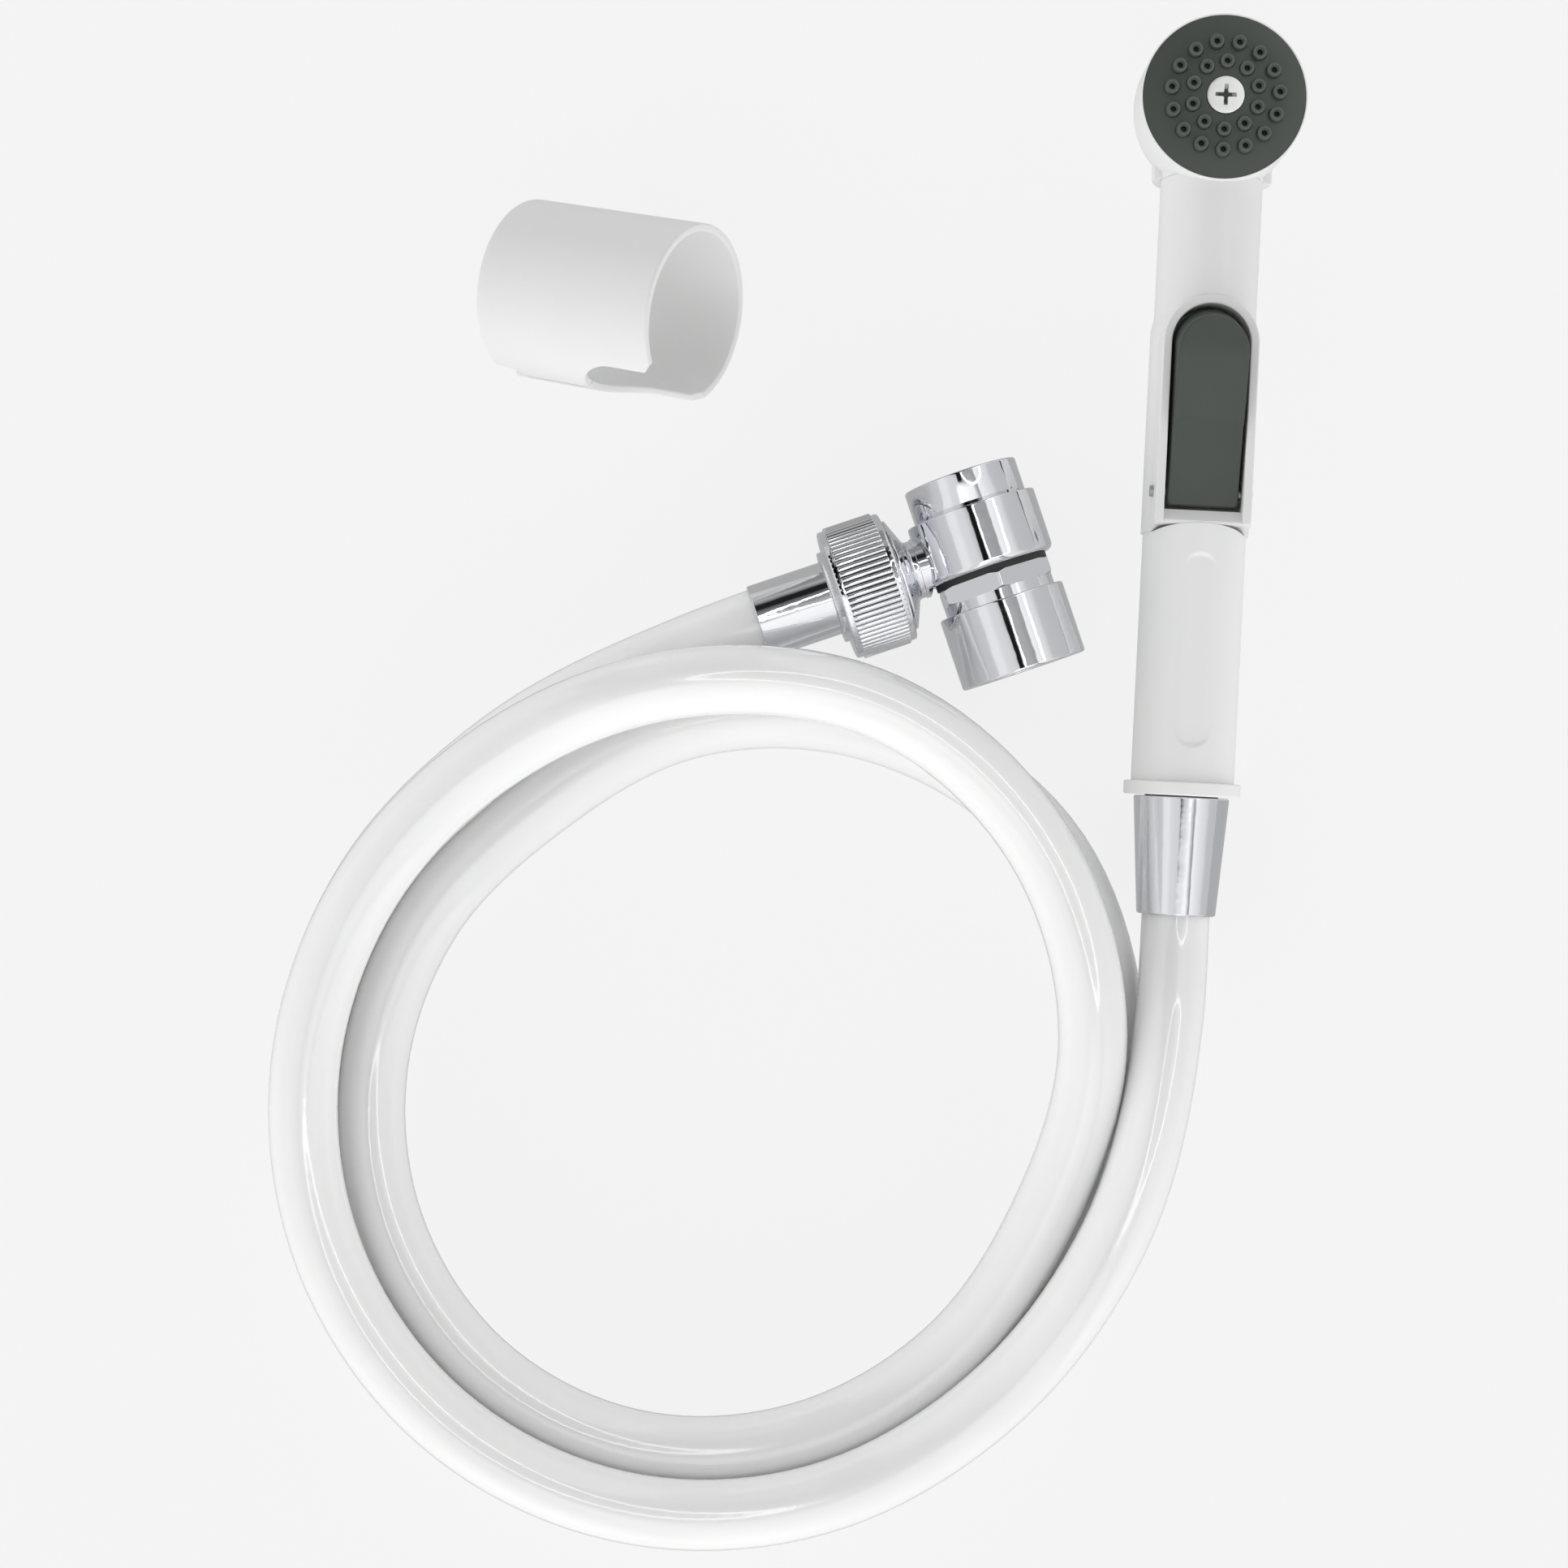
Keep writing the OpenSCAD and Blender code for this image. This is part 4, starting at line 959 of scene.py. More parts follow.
@dataclass
class Handle(Assembly):
    """The white upper tube with its raised trigger housing, and the dark paddle.

    Heights are above the handset's axis, and places along the handset are from its end flange.
    """

    tube_r: float = 11.5
    tube_end: float = 139.75
    housing_r: float = 12.15
    housing_foot: float = 59.4
    housing_top: float = 104.8
    blend: float = 4.0
    frame_r: float = 10.8
    frame_plane: float = 11.8
    frame_top: float = 112.3
    frame_edge: float = 0.35
    window_r: float = 8.8
    window_foot: float = 64.1
    window_edge: float = 0.3
    pocket_floor: float = 2.2
    chin: float = 2.5
    chin_drop: float = 2.5
    foot_run: float = 1.9
    foot_drop: float = 6.1
    paddle_r: float = 8.15
    paddle_foot: float = 64.9
    paddle_top: float = 109.5
    paddle_under: float = 7.3
    flank_foot: float = 1.5
    foot_inset: float = 0.15
    pad_inset: float = 0.25
    pad_top: float = 106.8
    pad_edge: float = 0.35
    crease: float = 84.6
    crease_bow: float = 1.7
    crease_step: float = 0.3
    crease_run: float = 0.35
    crease_height: float = 12.6
    foot_height: float = 9.2
    crown: float = 16.4
    crown_from: float = 101.0

    def build(self) -> None:
        """Makes and dresses the handle's pieces."""
        self._housing()
        self._paddle()
        self.dress(PIVOT_STEEL, "pivot_pin", edge=0.2)
        self.dress(NATURAL_PLASTIC, "valve_block")
        self.dress(PIN_STEEL, "valve_stem", "trigger_spring")
        self.dress(SEAL_RUBBER, "valve_seal", "stem_o_ring")

    def _housing(self) -> None:
        """Makes the tube and trigger housing as one skin of sections along the handle."""
        lip = self.window_foot - self.chin
        arch_y = self.frame_top - self.frame_r
        stations = [lip - (lip - self.housing_foot) * (1 - k / 8) for k in range(9)]
        stations += [lip + self.chin * k / 8 for k in range(1, 9)] + [self.window_foot + 0.01]
        stations += [self.window_foot + (arch_y - self.window_foot) * k / 50 for k in range(1, 51)]
        for tip in (self.window_r, self.window_r + self.window_edge, self.frame_r):
            first = stations[-1] - arch_y
            turns = [first + (tip - first) * math.sin(math.pi / 2 * k / 36) for k in range(1, 37)]
            stations += [arch_y + turn for turn in turns]
        last = stations[-1] + 0.01
        stations += [last + (self.tube_end - last) * k / 40 for k in range(41)]
        rows = [self._section(y) for y in stations]
        end = [(x * 0.985, self.tube_end + 0.1, z * 0.985) for x, _, z in rows[-1]]
        housing = loft([*rows, end], cap=True).build("handle_housing", self.layout.handset)
        housing.data.set_sharp_from_angle(angle=math.radians(CORNER_ANGLE))
        self.place_piece(housing, "sprayer", HOUSING_GLOSS, "handle_body")

    def _section(self, y: float) -> list[Triple]:
        """Returns the housing's section at a place along the handle.

        Args:
            y: distance from the end flange.

        Returns:
            A ring of points: the round back, a side wall, the frame and the pocket, mirrored.
        """
        swell = 1 - smoothstep((y - self.housing_top) / self.blend)
        round_r = self.tube_r + (self.housing_r - self.tube_r) * swell
        past = max(y - (self.frame_top - self.frame_r), 0.0)
        wall = math.sqrt(max(self.frame_r**2 - past**2, 0.0))
        foot = math.sqrt(round_r**2 - wall**2)
        half: list[Pair] = []
        sweep = math.pi - math.asin(wall / round_r)
        for k in range(49):
            turn = sweep * k / 48
            half.append((round_r * math.sin(turn), -round_r * math.cos(turn)))
        low = self.frame_plane - self.frame_edge
        for k in range(1, 6):
            height = foot + (low - foot) * k / 5
            half.append((wall, height if past < self.frame_r else round_r))
        for radius in self._ring_radii():
            reach = max(radius, past)
            x = math.sqrt(max(radius**2 - past**2, 0.0))
            half.append((x, self._frame_height(reach, round_r)))
        depth = self._pocket_height(y)
        open_half = math.sqrt(max(self.window_r**2 - past**2, 0.0))
        closed = past >= self.window_r or y < self.window_foot - self.chin
        rim = self._frame_height(max(self.window_r, past), round_r)
        for k in range(1, 5):
            half.append((open_half, rim if closed else rim + (depth - rim) * k / 4))
        for k in range(1, 5):
            half.append((open_half * (1 - k / 4), rim if closed else depth))
        mirrored = [(-x, z) for x, z in half[-2:0:-1]]
        return [(x, self._sloped(y, z), z) for x, z in half + mirrored]

    def _ring_radii(self) -> list[float]:
        """Returns radii of the arches that round the frame's outer and inner edges."""
        turns = [math.pi / 12 * k for k in range(7)]
        outer = [self.frame_r - self.frame_edge * (1 - math.cos(turn)) for turn in turns]
        inner = [self.window_r + self.window_edge * (1 - math.sin(turn)) for turn in turns]
        return outer + inner

    def _frame_height(self, radius: float, round_r: float) -> float:
        """Returns the height of the frame's face on the arch of a radius.

        Args:
            radius: the arch's radius.
            round_r: radius of the round tube outside the frame.

        Returns:
            The height above the handset's axis.
        """
        if radius > self.frame_r - 1e-9:
            return self.frame_plane - self.frame_edge if radius < self.frame_r + 1e-6 else round_r
        outer = max(radius - (self.frame_r - self.frame_edge), 0.0)
        inner = min(max(self.window_r + self.window_edge - radius, 0.0), self.window_edge)
        drop = self.frame_edge - math.sqrt(self.frame_edge**2 - outer**2)
        drop += self.window_edge - math.sqrt(self.window_edge**2 - inner**2)
        return self.frame_plane - drop

    def _pocket_height(self, y: float) -> float:
        """Returns the height of the pocket's floor: the sloped chin, then the deep part.

        Args:
            y: place along the handle.

        Returns:
            The height above the handset's axis.
        """
        if y > self.window_foot:
            return self.pocket_floor
        share = (y - self.window_foot + self.chin) / self.chin
        return self.frame_plane - self.window_edge - (self.chin_drop - self.window_edge) * share

    def _sloped(self, y: float, z: float) -> float:
        """Returns y moved so that the housing starts on its sloped foot.

        Args:
            y: place along the handle.
            z: height of the point.

        Returns:
            The moved y.
        """
        lip = self.window_foot - self.chin
        if y >= lip:
            return y
        climb = min(max((z - self.frame_plane + self.foot_drop) / self.foot_drop, 0.0), 1.0)
        start = self.housing_foot + self.foot_run * climb
        return start + (lip - start) * (y - self.housing_foot) / (lip - self.housing_foot)

    def _paddle_height(self, x: float, y: float) -> float:
        """Returns the height of the paddle's top face, which steepens past a bowed crease.

        Args:
            x: place across the handle.
            y: place along it.

        Returns:
            The height above the handset's axis.
        """
        crease = self.crease - self.crease_bow * (x / self.paddle_r) ** 2
        low_slope = (self.crease_height - self.foot_height) / (self.crease - self.paddle_foot)
        if y < crease:
            return self.crease_height + low_slope * (y - crease)
        share = min((y - crease) / (self.crown_from - crease), 1.0)
        rise = (self.crown - self.crease_height - self.crease_step) * math.sin(share * math.pi / 2)
        step = self.crease_step * min((y - crease) / self.crease_run, 1.0)
        return self.crease_height + step + rise

    def _paddle(self) -> None:
        """Makes the thumb paddle: flanks of loops that follow its outline, and a woven top."""
        base = self._paddle_loop(self.paddle_r, self.paddle_foot, self.paddle_top)
        low = self.paddle_under + self.flank_foot
        loops = [[(x, y, height) for x, y in base] for height in (self.paddle_under, low)]
        for k in range(1, 7):
            share = k / 6
            loop = self._paddle_loop(
                self.paddle_r - self.pad_inset * share,
                self.paddle_foot + self.foot_inset * share,
                self.paddle_top - (self.paddle_top - self.pad_top) * share,
            )
            tops = [self._paddle_height(x, y) - self.pad_edge for x, y in loop]
            loops.append([(x, y, low + (top - low) * share) for (x, y), top in zip(loop, tops)])
        side_r, foot = self.paddle_r - self.pad_inset, self.paddle_foot + self.foot_inset
        for k in range(1, 7):
            turn = math.pi / 12 * k
            inward = self.pad_edge * (1 - math.cos(turn))
            loop = self._paddle_loop(side_r - inward, foot + inward, self.pad_top - inward)
            drop = self.pad_edge * (1 - math.sin(turn))
            loops.append([(x, y, self._paddle_height(x, y) - drop) for x, y in loop])
        edge = self.pad_edge
        face = self._woven(side_r - edge, foot + edge, self.pad_top - edge)
        underside = Form([(x, y, self.paddle_under) for x, y in base], [tuple(range(len(base)))])
        paddle = loft(loops).add(face).add(underside).build("thumb_paddle", self.layout.handset)
        self.place_piece(paddle, "paddle", PADDLE_SATIN, "trigger_paddle")

    def _woven(self, width: float, foot: float, top: float) -> Form:
        """Returns the paddle's top face as rows across it.

        Args:
            width: half of the face's width.
            foot: y of its lower end.
            top: y of its round upper end.

        Returns:
            The face, whose edge points are those of the loop of the same size.
        """
        loop = self._paddle_loop(width, foot, top)
        count = len(loop)
        columns = 24
        low = loop[4 : 4 + columns + 1]
        rows = [[(x, y, self._paddle_height(x, y)) for x, y in low]]
        for k in range(1, (count - columns) // 2 + 1):
            left, right = loop[(4 - k) % count], loop[(4 + columns + k) % count]
            row = []
            for j in range(columns + 1):
                x = left[0] + (right[0] - left[0]) * j / columns
                row.append((x, right[1], self._paddle_height(x, right[1])))
            rows.append(row)
        return loft(rows, round_rows=False)

    @staticmethod
    def _paddle_loop(width: float, foot: float, top: float) -> list[Pair]:
        """Returns one loop of the paddle, with the same y on points that face each other.

        Args:
            width: half of the loop's width.
            foot: y of its lower end.
            top: y of its round upper end.

        Returns:
            The loop, from its lower left corner.
        """
        corner = 1.0
        side = 140
        shoulder = top - width
        low = foot + corner
        sole = [(-width + corner + 2 * (width - corner) * k / 24, foot) for k in range(1, 24)]
        right = [(width, low + (shoulder - low) * k / side) for k in range(1, side)]
        return (
            arc((-width + corner, low), corner, 180, 270, 4)
            + sole
            + arc((width - corner, low), corner, 270, 360, 4)
            + right
            + arc((0, shoulder), width, 0, 180, 48)
            + [(-x, y) for x, y in reversed(right)]
        )


@dataclass
class Grip(Assembly):
    """The lower grip with its thumb recess, the end flange and the hose nut.

    Places along the handset are from the end flange's lower face.
    """

    grip_r: float = 11.65
    wall: float = 2.0
    flange_r: float = 13.2
    flange_t: float = 3.1
    flange_gap: float = 0.02
    flange_edge: float = 0.45
    flange_bore_r: float = 7.05
    top: float = 59.4
    tongue_top: float = 61.3
    tongue_low: float = 5.7
    tongue_high: float = 11.8
    recess_half: float = 3.9
    recess_foot: float = 11.2
    recess_top: float = 54.2
    recess_depth: float = 0.65
    recess_end: float = 0.8
    fade: float = 5.2
    nut_top_r: float = 10.8
    nut_end_r: float = 8.9
    nut_length: float = 26.8
    nut_gap: float = 0.3
    nut_bore_r: float = 8.35
    hose_hole_r: float = 8.0
    nut_shoulder: float = -14.9
    tube_steps: int = 180
    tube_columns: int = 192
    facets: int = 144

    def build(self) -> None:
        """Makes and dresses the grip, the flange and the nut."""
        self._sleeve()
        self._flange()
        self._nut()
        self.dress(NATURAL_PLASTIC, "inlet_pipe")
        self.dress(SEAL_RUBBER, "handset_washer")

    def _sleeve(self) -> None:
        """Makes the grip with a shallow scoop along its top."""
        bore_r = self.grip_r - self.wall
        corners = [
            (self.grip_r, self.flange_t + 8, 0),
            (self.grip_r, self.flange_t, 0.08),
            (bore_r, self.flange_t, 0),
        ]
        edge = rounded(corners, closed=False)[1:-1]
        lower = edge[::-1]
        upper = [(r, self.top + self.flange_t - y) for r, y in edge]
        start, end, steps = lower[-1][1], upper[0][1], self.tube_steps
        middle = [(self.grip_r, start + (end - start) * k / steps) for k in range(1, steps)]
        inner = [(bore_r, self.top), (bore_r, self.flange_t)]
        tube = spun(lower + middle + upper + inner, self.tube_columns)
        rows = [[self._shaped(*point) for point in row] for row in tube]
        grip = loft(rows, join_ends=True).build("grip", self.layout.handset, even=False)
        self.place_piece(grip, "sprayer", GRIP_GLOSS, "grip_sleeve")

    def _shaped(self, x: float, y: float, z: float) -> Triple:
        """Returns where the grip has a point of a plain tube.

        Args:
            x: place across the handset.
            y: place along it.
            z: height of the point.

        Returns:
            The point.
        """
        outside = math.hypot(x, z) > self.grip_r - self.wall / 2
        dip = self._recess(x, y) if outside and z > 0 else 0.0
        return (x, self._lapped(y, z), z - dip)

    def _lapped(self, y: float, z: float) -> float:
        """Returns y stretched near the top end, so that it laps the housing's sloped foot.

        Args:
            y: place along the handset.
            z: height of the point.

        Returns:
            The stretched y.
        """
        climb = (z - self.tongue_low) / (self.tongue_high - self.tongue_low)
        reach = max((self.tongue_top - self.top) * climb - 0.005, 0.0)
        start = self.recess_top + 1
        return y + reach * min(max((y - start) / (self.top - start), 0.0), 1.0)

    def _recess(self, x: float, y: float) -> float:
        """Returns how far the thumb recess, with soft sides and crisp ends, lowers the top.

        Args:
            x: place across the handset.
            y: place along it.

        Returns:
            The depth of the recess there.
        """
        if abs(x) > self.fade:
            return 0.0
        bow = math.sqrt(max(self.recess_half**2 - x**2, 0.0)) - self.recess_half
        top = smoothstep((self.recess_top + bow - y) / self.recess_end + 0.5)
        foot = smoothstep((y - self.recess_foot + bow) / self.recess_end + 0.5)
        return self.recess_depth * math.cos(math.pi / 2 * x / self.fade) ** 2 * top * foot

    def _flange(self) -> None:
        """Makes the end flange."""
        thick = self.flange_t - self.flange_gap
        corners = [
            (self.flange_bore_r, 0, 0),
            (self.flange_r, 0, self.flange_edge),
            (self.flange_r, thick, self.flange_edge),
            (self.flange_bore_r, thick, 0),
        ]
        ring = lathe(rounded(corners), segments=self.facets)
        flange = ring.build("end_ring", self.layout.handset)
        self.place_piece(flange, "sprayer", FLANGE_GLOSS, "end_flange")

    def _nut(self) -> None:
        """Makes the conical hose nut, hollow as the real one."""
        foot = -self.nut_gap - self.nut_length
        corners = [
            (self.nut_bore_r, -self.nut_gap, 0.2),
            (self.nut_top_r, -self.nut_gap, 0.35),
            (self.nut_end_r, foot, 1.1),
            (self.hose_hole_r, foot, 0.2),
            (self.hose_hole_r, self.nut_shoulder, 0),
            (self.nut_bore_r, self.nut_shoulder, 0),
        ]
        cone = lathe(rounded(corners, steps=8), segments=self.facets)
        nut = cone.build("cone_nut", self.layout.handset)
        self.place_piece(nut, "hose_nut", CHROME, "hose_nut")


@dataclass
class Hose(Assembly):
    """The white hose in its coil, with the fittings at its ends.

    Attributes:
        start: first points of the route, on the handset's axis.
        stops: (radius, height) at each station round the coil's centre.
        finish: last points of the route, on the side outlet's axis.
        centre: the coil's centre.
        stations: stations in one turn.
        first_bearing: bearing of the first station in degrees.
        diameter: the hose's outer diameter.
    """

    start: tuple[Triple, ...] = ((0.072, -0.0892, 0.0132), (0.072, -0.1022, 0.01325))
    stops: tuple[Pair, ...] = (
        (0.1066, 0.0202), (0.0973, 0.0250), (0.0936, 0.0242), (0.0930, 0.0246), (0.0924, 0.0252),
        (0.0916, 0.0245), (0.0902, 0.0239), (0.0889, 0.0238), (0.0885, 0.0242), (0.0896, 0.0252),
        (0.0932, 0.0280), (0.0969, 0.0260), (0.0947, 0.0240), (0.0889, 0.0239), (0.0819, 0.0184),
        (0.0812, 0.0146), (0.0811, 0.0142), (0.0811, 0.0141), (0.0799, 0.0131), (0.0778, 0.0108),
        (0.0758, 0.0084), (0.0747, 0.0081), (0.0754, 0.0081), (0.0841, 0.0081), (0.0922, 0.0081),
        (0.0978, 0.0081), (0.0953, 0.0081), (0.0940, 0.0081), (0.0958, 0.0081), (0.0960, 0.0081),
        (0.0961, 0.0081), (0.0949, 0.0081), (0.0938, 0.0081), (0.0916, 0.0081), (0.0907, 0.0083),
        (0.0920, 0.0097), (0.1013, 0.0130),
    )
    finish: tuple[Triple, ...] = ((-0.0264, -0.0387, 0.0154), (-0.0162, -0.0347, 0.0155))
    centre: Pair = (-0.0337, -0.1465)
    stations: int = 13
    first_bearing: float = 12.0
    diameter: float = 0.0155

    def build(self) -> None:
        """Makes the hose and dresses its tails."""
        line = self._smoothed(self._route(), 10)
        curve = bpy.data.curves.new("hose_line", "CURVE")
        curve.dimensions = "3D"
        curve.bevel_depth = self.diameter / 2
        curve.bevel_resolution = 8
        curve.use_fill_caps = True
        spline = curve.splines.new("POLY")
        spline.points.add(len(line) - 1)
        for point, here in zip(spline.points, line):
            point.co = (*here, 1.0)
        spline.use_smooth = True
        hose = bpy.data.objects.new("white_hose", curve)
        bpy.context.scene.collection.objects.link(hose)
        self.place_piece(hose, "sprayer", HOSE_GLOSS, "hose")
        tails = [self.frame["nodes"][name] for name in ("handset_hose_tail", "sink_hose_tail")]
        self.dress(TURNED_BRASS, *(tail.name for tail in tails))

    def _route(self) -> list[Vector]:
        """Returns the points that the hose passes, from the handset to the diverter."""
        coil = []
        for i, (radius, height) in enumerate(self.stops):
            bearing = math.radians(self.first_bearing - i * 360 / self.stations)
            x, y = radius * math.cos(bearing), radius * math.sin(bearing)
            coil.append((self.centre[0] + x, self.centre[1] + y, height))
        return [Vector(point) for point in (*self.start, *coil, *self.finish)]

    @staticmethod
    def _heading(line: Sequence[Vector], i: int) -> Vector:
        """Returns the line's direction at one of its points.

        Args:
            line: the line.
            i: number of the point.

        Returns:
            The direction, of length 1.
        """
        if i == 0:
            return (line[1] - line[0]).normalized()
        if i == len(line) - 1:
            return (line[-1] - line[-2]).normalized()
        before, after = line[i] - line[i - 1], line[i + 1] - line[i]
        return (before / before.length_squared + after / after.length_squared).normalized()

    def _smoothed(self, line: Sequence[Vector], steps: int) -> list[Vector]:
        """Returns a smooth curve through the points of a line.

        Args:
            line: the points.
            steps: steps in each span.

        Returns:
            The curve's points.
        """
        curve: list[Vector] = []
        for i in range(len(line) - 1):
            a, b = line[i], line[i + 1]
            span = (b - a).length
            u, v = self._heading(line, i) * span, self._heading(line, i + 1) * span
            for k in range(steps):
                t = k / steps
                curve.append(
                    a * (2 * t**3 - 3 * t**2 + 1)
                    + u * (t**3 - 2 * t**2 + t)
                    + b * (3 * t**2 - 2 * t**3)
                    + v * (t**3 - t**2)
                )
        return curve + [line[-1].copy()]


@dataclass
class Diverter(Assembly):
    """The chrome tap diverter: body, collar, spout and pull ring.

    Heights run towards the tap, from where the two axes cross, and reaches run along the outlet.
    """

    body_r: float = 15.0
    body_up: float = 9.1
    body_down: float = -5.3
    boss_r: float = 6.93
    boss_start: float = 12.6
    boss_reach: float = 15.6
    neck_r: float = 6.65
    neck_reach: float = 17.2
    flange_r: float = 12.8
    flange_reach: float = 20.3
    flange_t: float = 0.6
    thread_r: float = 10.4
    thread_reach: float = 30.0
    outlet_bore_r: float = 4.5
    outlet_bore_depth: float = 6.0
    under_r: float = 14.6
    under_foot: float = -14.0
    outlet_edge: float = 0.1
    collar_r: float = 13.2
    collar_foot: float = 9.2
    collar_top: float = 17.0
    collar_bore_r: float = 11.0
    collar_flat: float = 12.9
    gasket_foot: float = -6.6
    hex_corner_r: float = 14.15
    hex_foot: float = -10.6
    hex_chamfer: float = 1.1
    hex_chamfer_rise: float = 0.55
    guide_r: float = 12.75
    guide_foot: float = -25.6
    guide_chamfer: float = 0.4
    ring_r: float = 14.5
    ring_top: float = -12.9
    ring_foot: float = -29.6
    ring_bore_r: float = 12.85
    mouth_r: float = 11.85
    facets: int = 160
    outlet_facets: int = 144
    collar_facets: int = 192
    hex_facets: int = 240

    def build(self) -> None:
        """Makes and dresses the diverter's pieces."""
        self._body()
        self._outlet()
        self._collar()
        self._spout()
        self._pull_ring()
        self.dress(SEAL_RUBBER, "body_gasket", "guide_o_ring", "spool_seal", "inlet_washer")
        self.dress(PIN_STEEL, "collar_clip", "inlet_screen", "diverter_spring")
        self.dress(NATURAL_PLASTIC, "diverter_spool", "aerator_insert")

    def _chrome(self, form: Form, name: str, body: str, *replaced: str) -> None:
        """Makes a chrome piece of the diverter, on a body, for the nodes that it replaces."""
        self.place_piece(form.build(name, self.layout.diverter), body, CHROME, *replaced)

    def _body(self) -> None:
        """Makes the body, a short drum."""
        corners = [
            (0, self.body_down, 0),
            (self.body_r, self.body_down, 1.6),
            (self.body_r, self.body_up, 0.4),
            (0, self.body_up, 0),
        ]
        drum = lathe(rounded(corners, closed=False, steps=8), closed=False, segments=self.facets)
        self._chrome(drum, "diverter_shell", "sprayer", "diverter_body")

    def _outlet(self) -> None:
        """Makes the waisted side outlet with its flange and thread, cut flush below the body."""
        corners = [
            (0, self.boss_start, 0),
            (self.boss_r, self.boss_start, 0),
            (self.boss_r, self.boss_reach, 0.35),
            (self.neck_r, self.boss_reach, 0.15),
            (self.neck_r, self.neck_reach, 1.0),
            (self.flange_r, self.flange_reach - self.flange_t, 0.3),
            (self.flange_r, self.flange_reach, 0.2),
            (self.thread_r, self.flange_reach, 0),
            (self.thread_r, self.thread_reach, 0.4),
            (self.outlet_bore_r, self.thread_reach, 0),
            (self.outlet_bore_r, self.thread_reach - self.outlet_bore_depth, 0),
            (0, self.thread_reach - self.outlet_bore_depth, 0),
        ]
        outline = rounded(corners, closed=False, steps=8)
        side = lathe(outline, closed=False, segments=self.outlet_facets).turned(90, "Z")
        under = bar(self.under_r, self.under_foot, self.body_down)
        outlet = carve(side, self.layout.diverter, "side_outlet", [under])
        soften_edges(outlet, self.outlet_edge, angle=50)
        self.place_piece(outlet, "sprayer", CHROME)

    def _collar(self) -> None:
        """Makes the tap collar with its two wrench flats."""
        profile = rounded(
            [
                (9.0, self.collar_foot - 3, 0),
                (self.collar_r, self.collar_foot - 0.02, 0),
                (self.collar_r, self.collar_top, 0.5),
                (self.collar_bore_r, self.collar_top, 0.3),
                (self.collar_bore_r, self.collar_foot + 0.2, 0.2),
                (8.0, self.collar_foot - 0.4, 0),
            ]
        )

        def flattened(radius: float, bearing: float) -> float:
            """Returns the reach of a point that the flats may cut back.

            Args:
                radius: the plain radius.
                bearing: the bearing round the axis.

            Returns:
                The reach.
            """
            if radius < self.collar_flat:
                return radius
            return min(radius, self.collar_flat / max(abs(math.cos(bearing)), 1e-6))

        collar = loft(spun(profile, self.collar_facets, flattened), join_ends=True)
        self._chrome(collar, "tap_collar", "inlet_collar", "inlet_collar")

    def _spout(self) -> None:
        """Makes the hexagon with its turned chamfers, and the guide below it."""
        steps, bevel, rise = 10, self.hex_chamfer, self.hex_chamfer_rise
        apothem = self.hex_corner_r * math.cos(math.pi / 6)
        profile = [
            (0.0, self.guide_foot),
            (self.guide_r - self.guide_chamfer, self.guide_foot),
            (self.guide_r, self.guide_foot + self.guide_chamfer),
            (self.guide_r, self.hex_foot),
        ]
        for k in range(steps + 1):
            share = k / steps
            profile.append((self.hex_corner_r - bevel * (1 - share), self.hex_foot + rise * share))
        for k in range(steps + 1):
            share = k / steps
            height = self.gasket_foot - rise + rise * share
            profile.append((self.hex_corner_r - bevel * share, height))
        profile += [(0.0, self.gasket_foot)]

        def six_sided(radius: float, bearing: float) -> float:
            """Returns the reach of a point that the hexagon's sides may cut back."""
            turn = (bearing + math.pi / 6) % (math.pi / 3) - math.pi / 6
            return min(radius, apothem / math.cos(turn)) if radius > self.guide_r else radius

        spout = loft(spun(profile, self.hex_facets, six_sided))
        self._chrome(spout, "spout_hexagon", "sprayer", "spout_nipple")

    def _pull_ring(self) -> None:
        """Makes the pull ring, open below for the aerator."""
        corners = [
            (self.ring_bore_r, self.ring_top, 0.3),
            (self.ring_r, self.ring_top, 0.5),
            (self.ring_r, self.ring_foot, 0.6),
            (self.mouth_r, self.ring_foot, 0.3),
            (self.mouth_r, self.ring_foot + 1.5, 0),
            (self.ring_bore_r, self.ring_foot + 2.5, 0),
        ]
        ring = lathe(rounded(corners, steps=6), segments=self.facets)
        self._chrome(ring, "ring_pull", "pull_ring", "pull_ring")


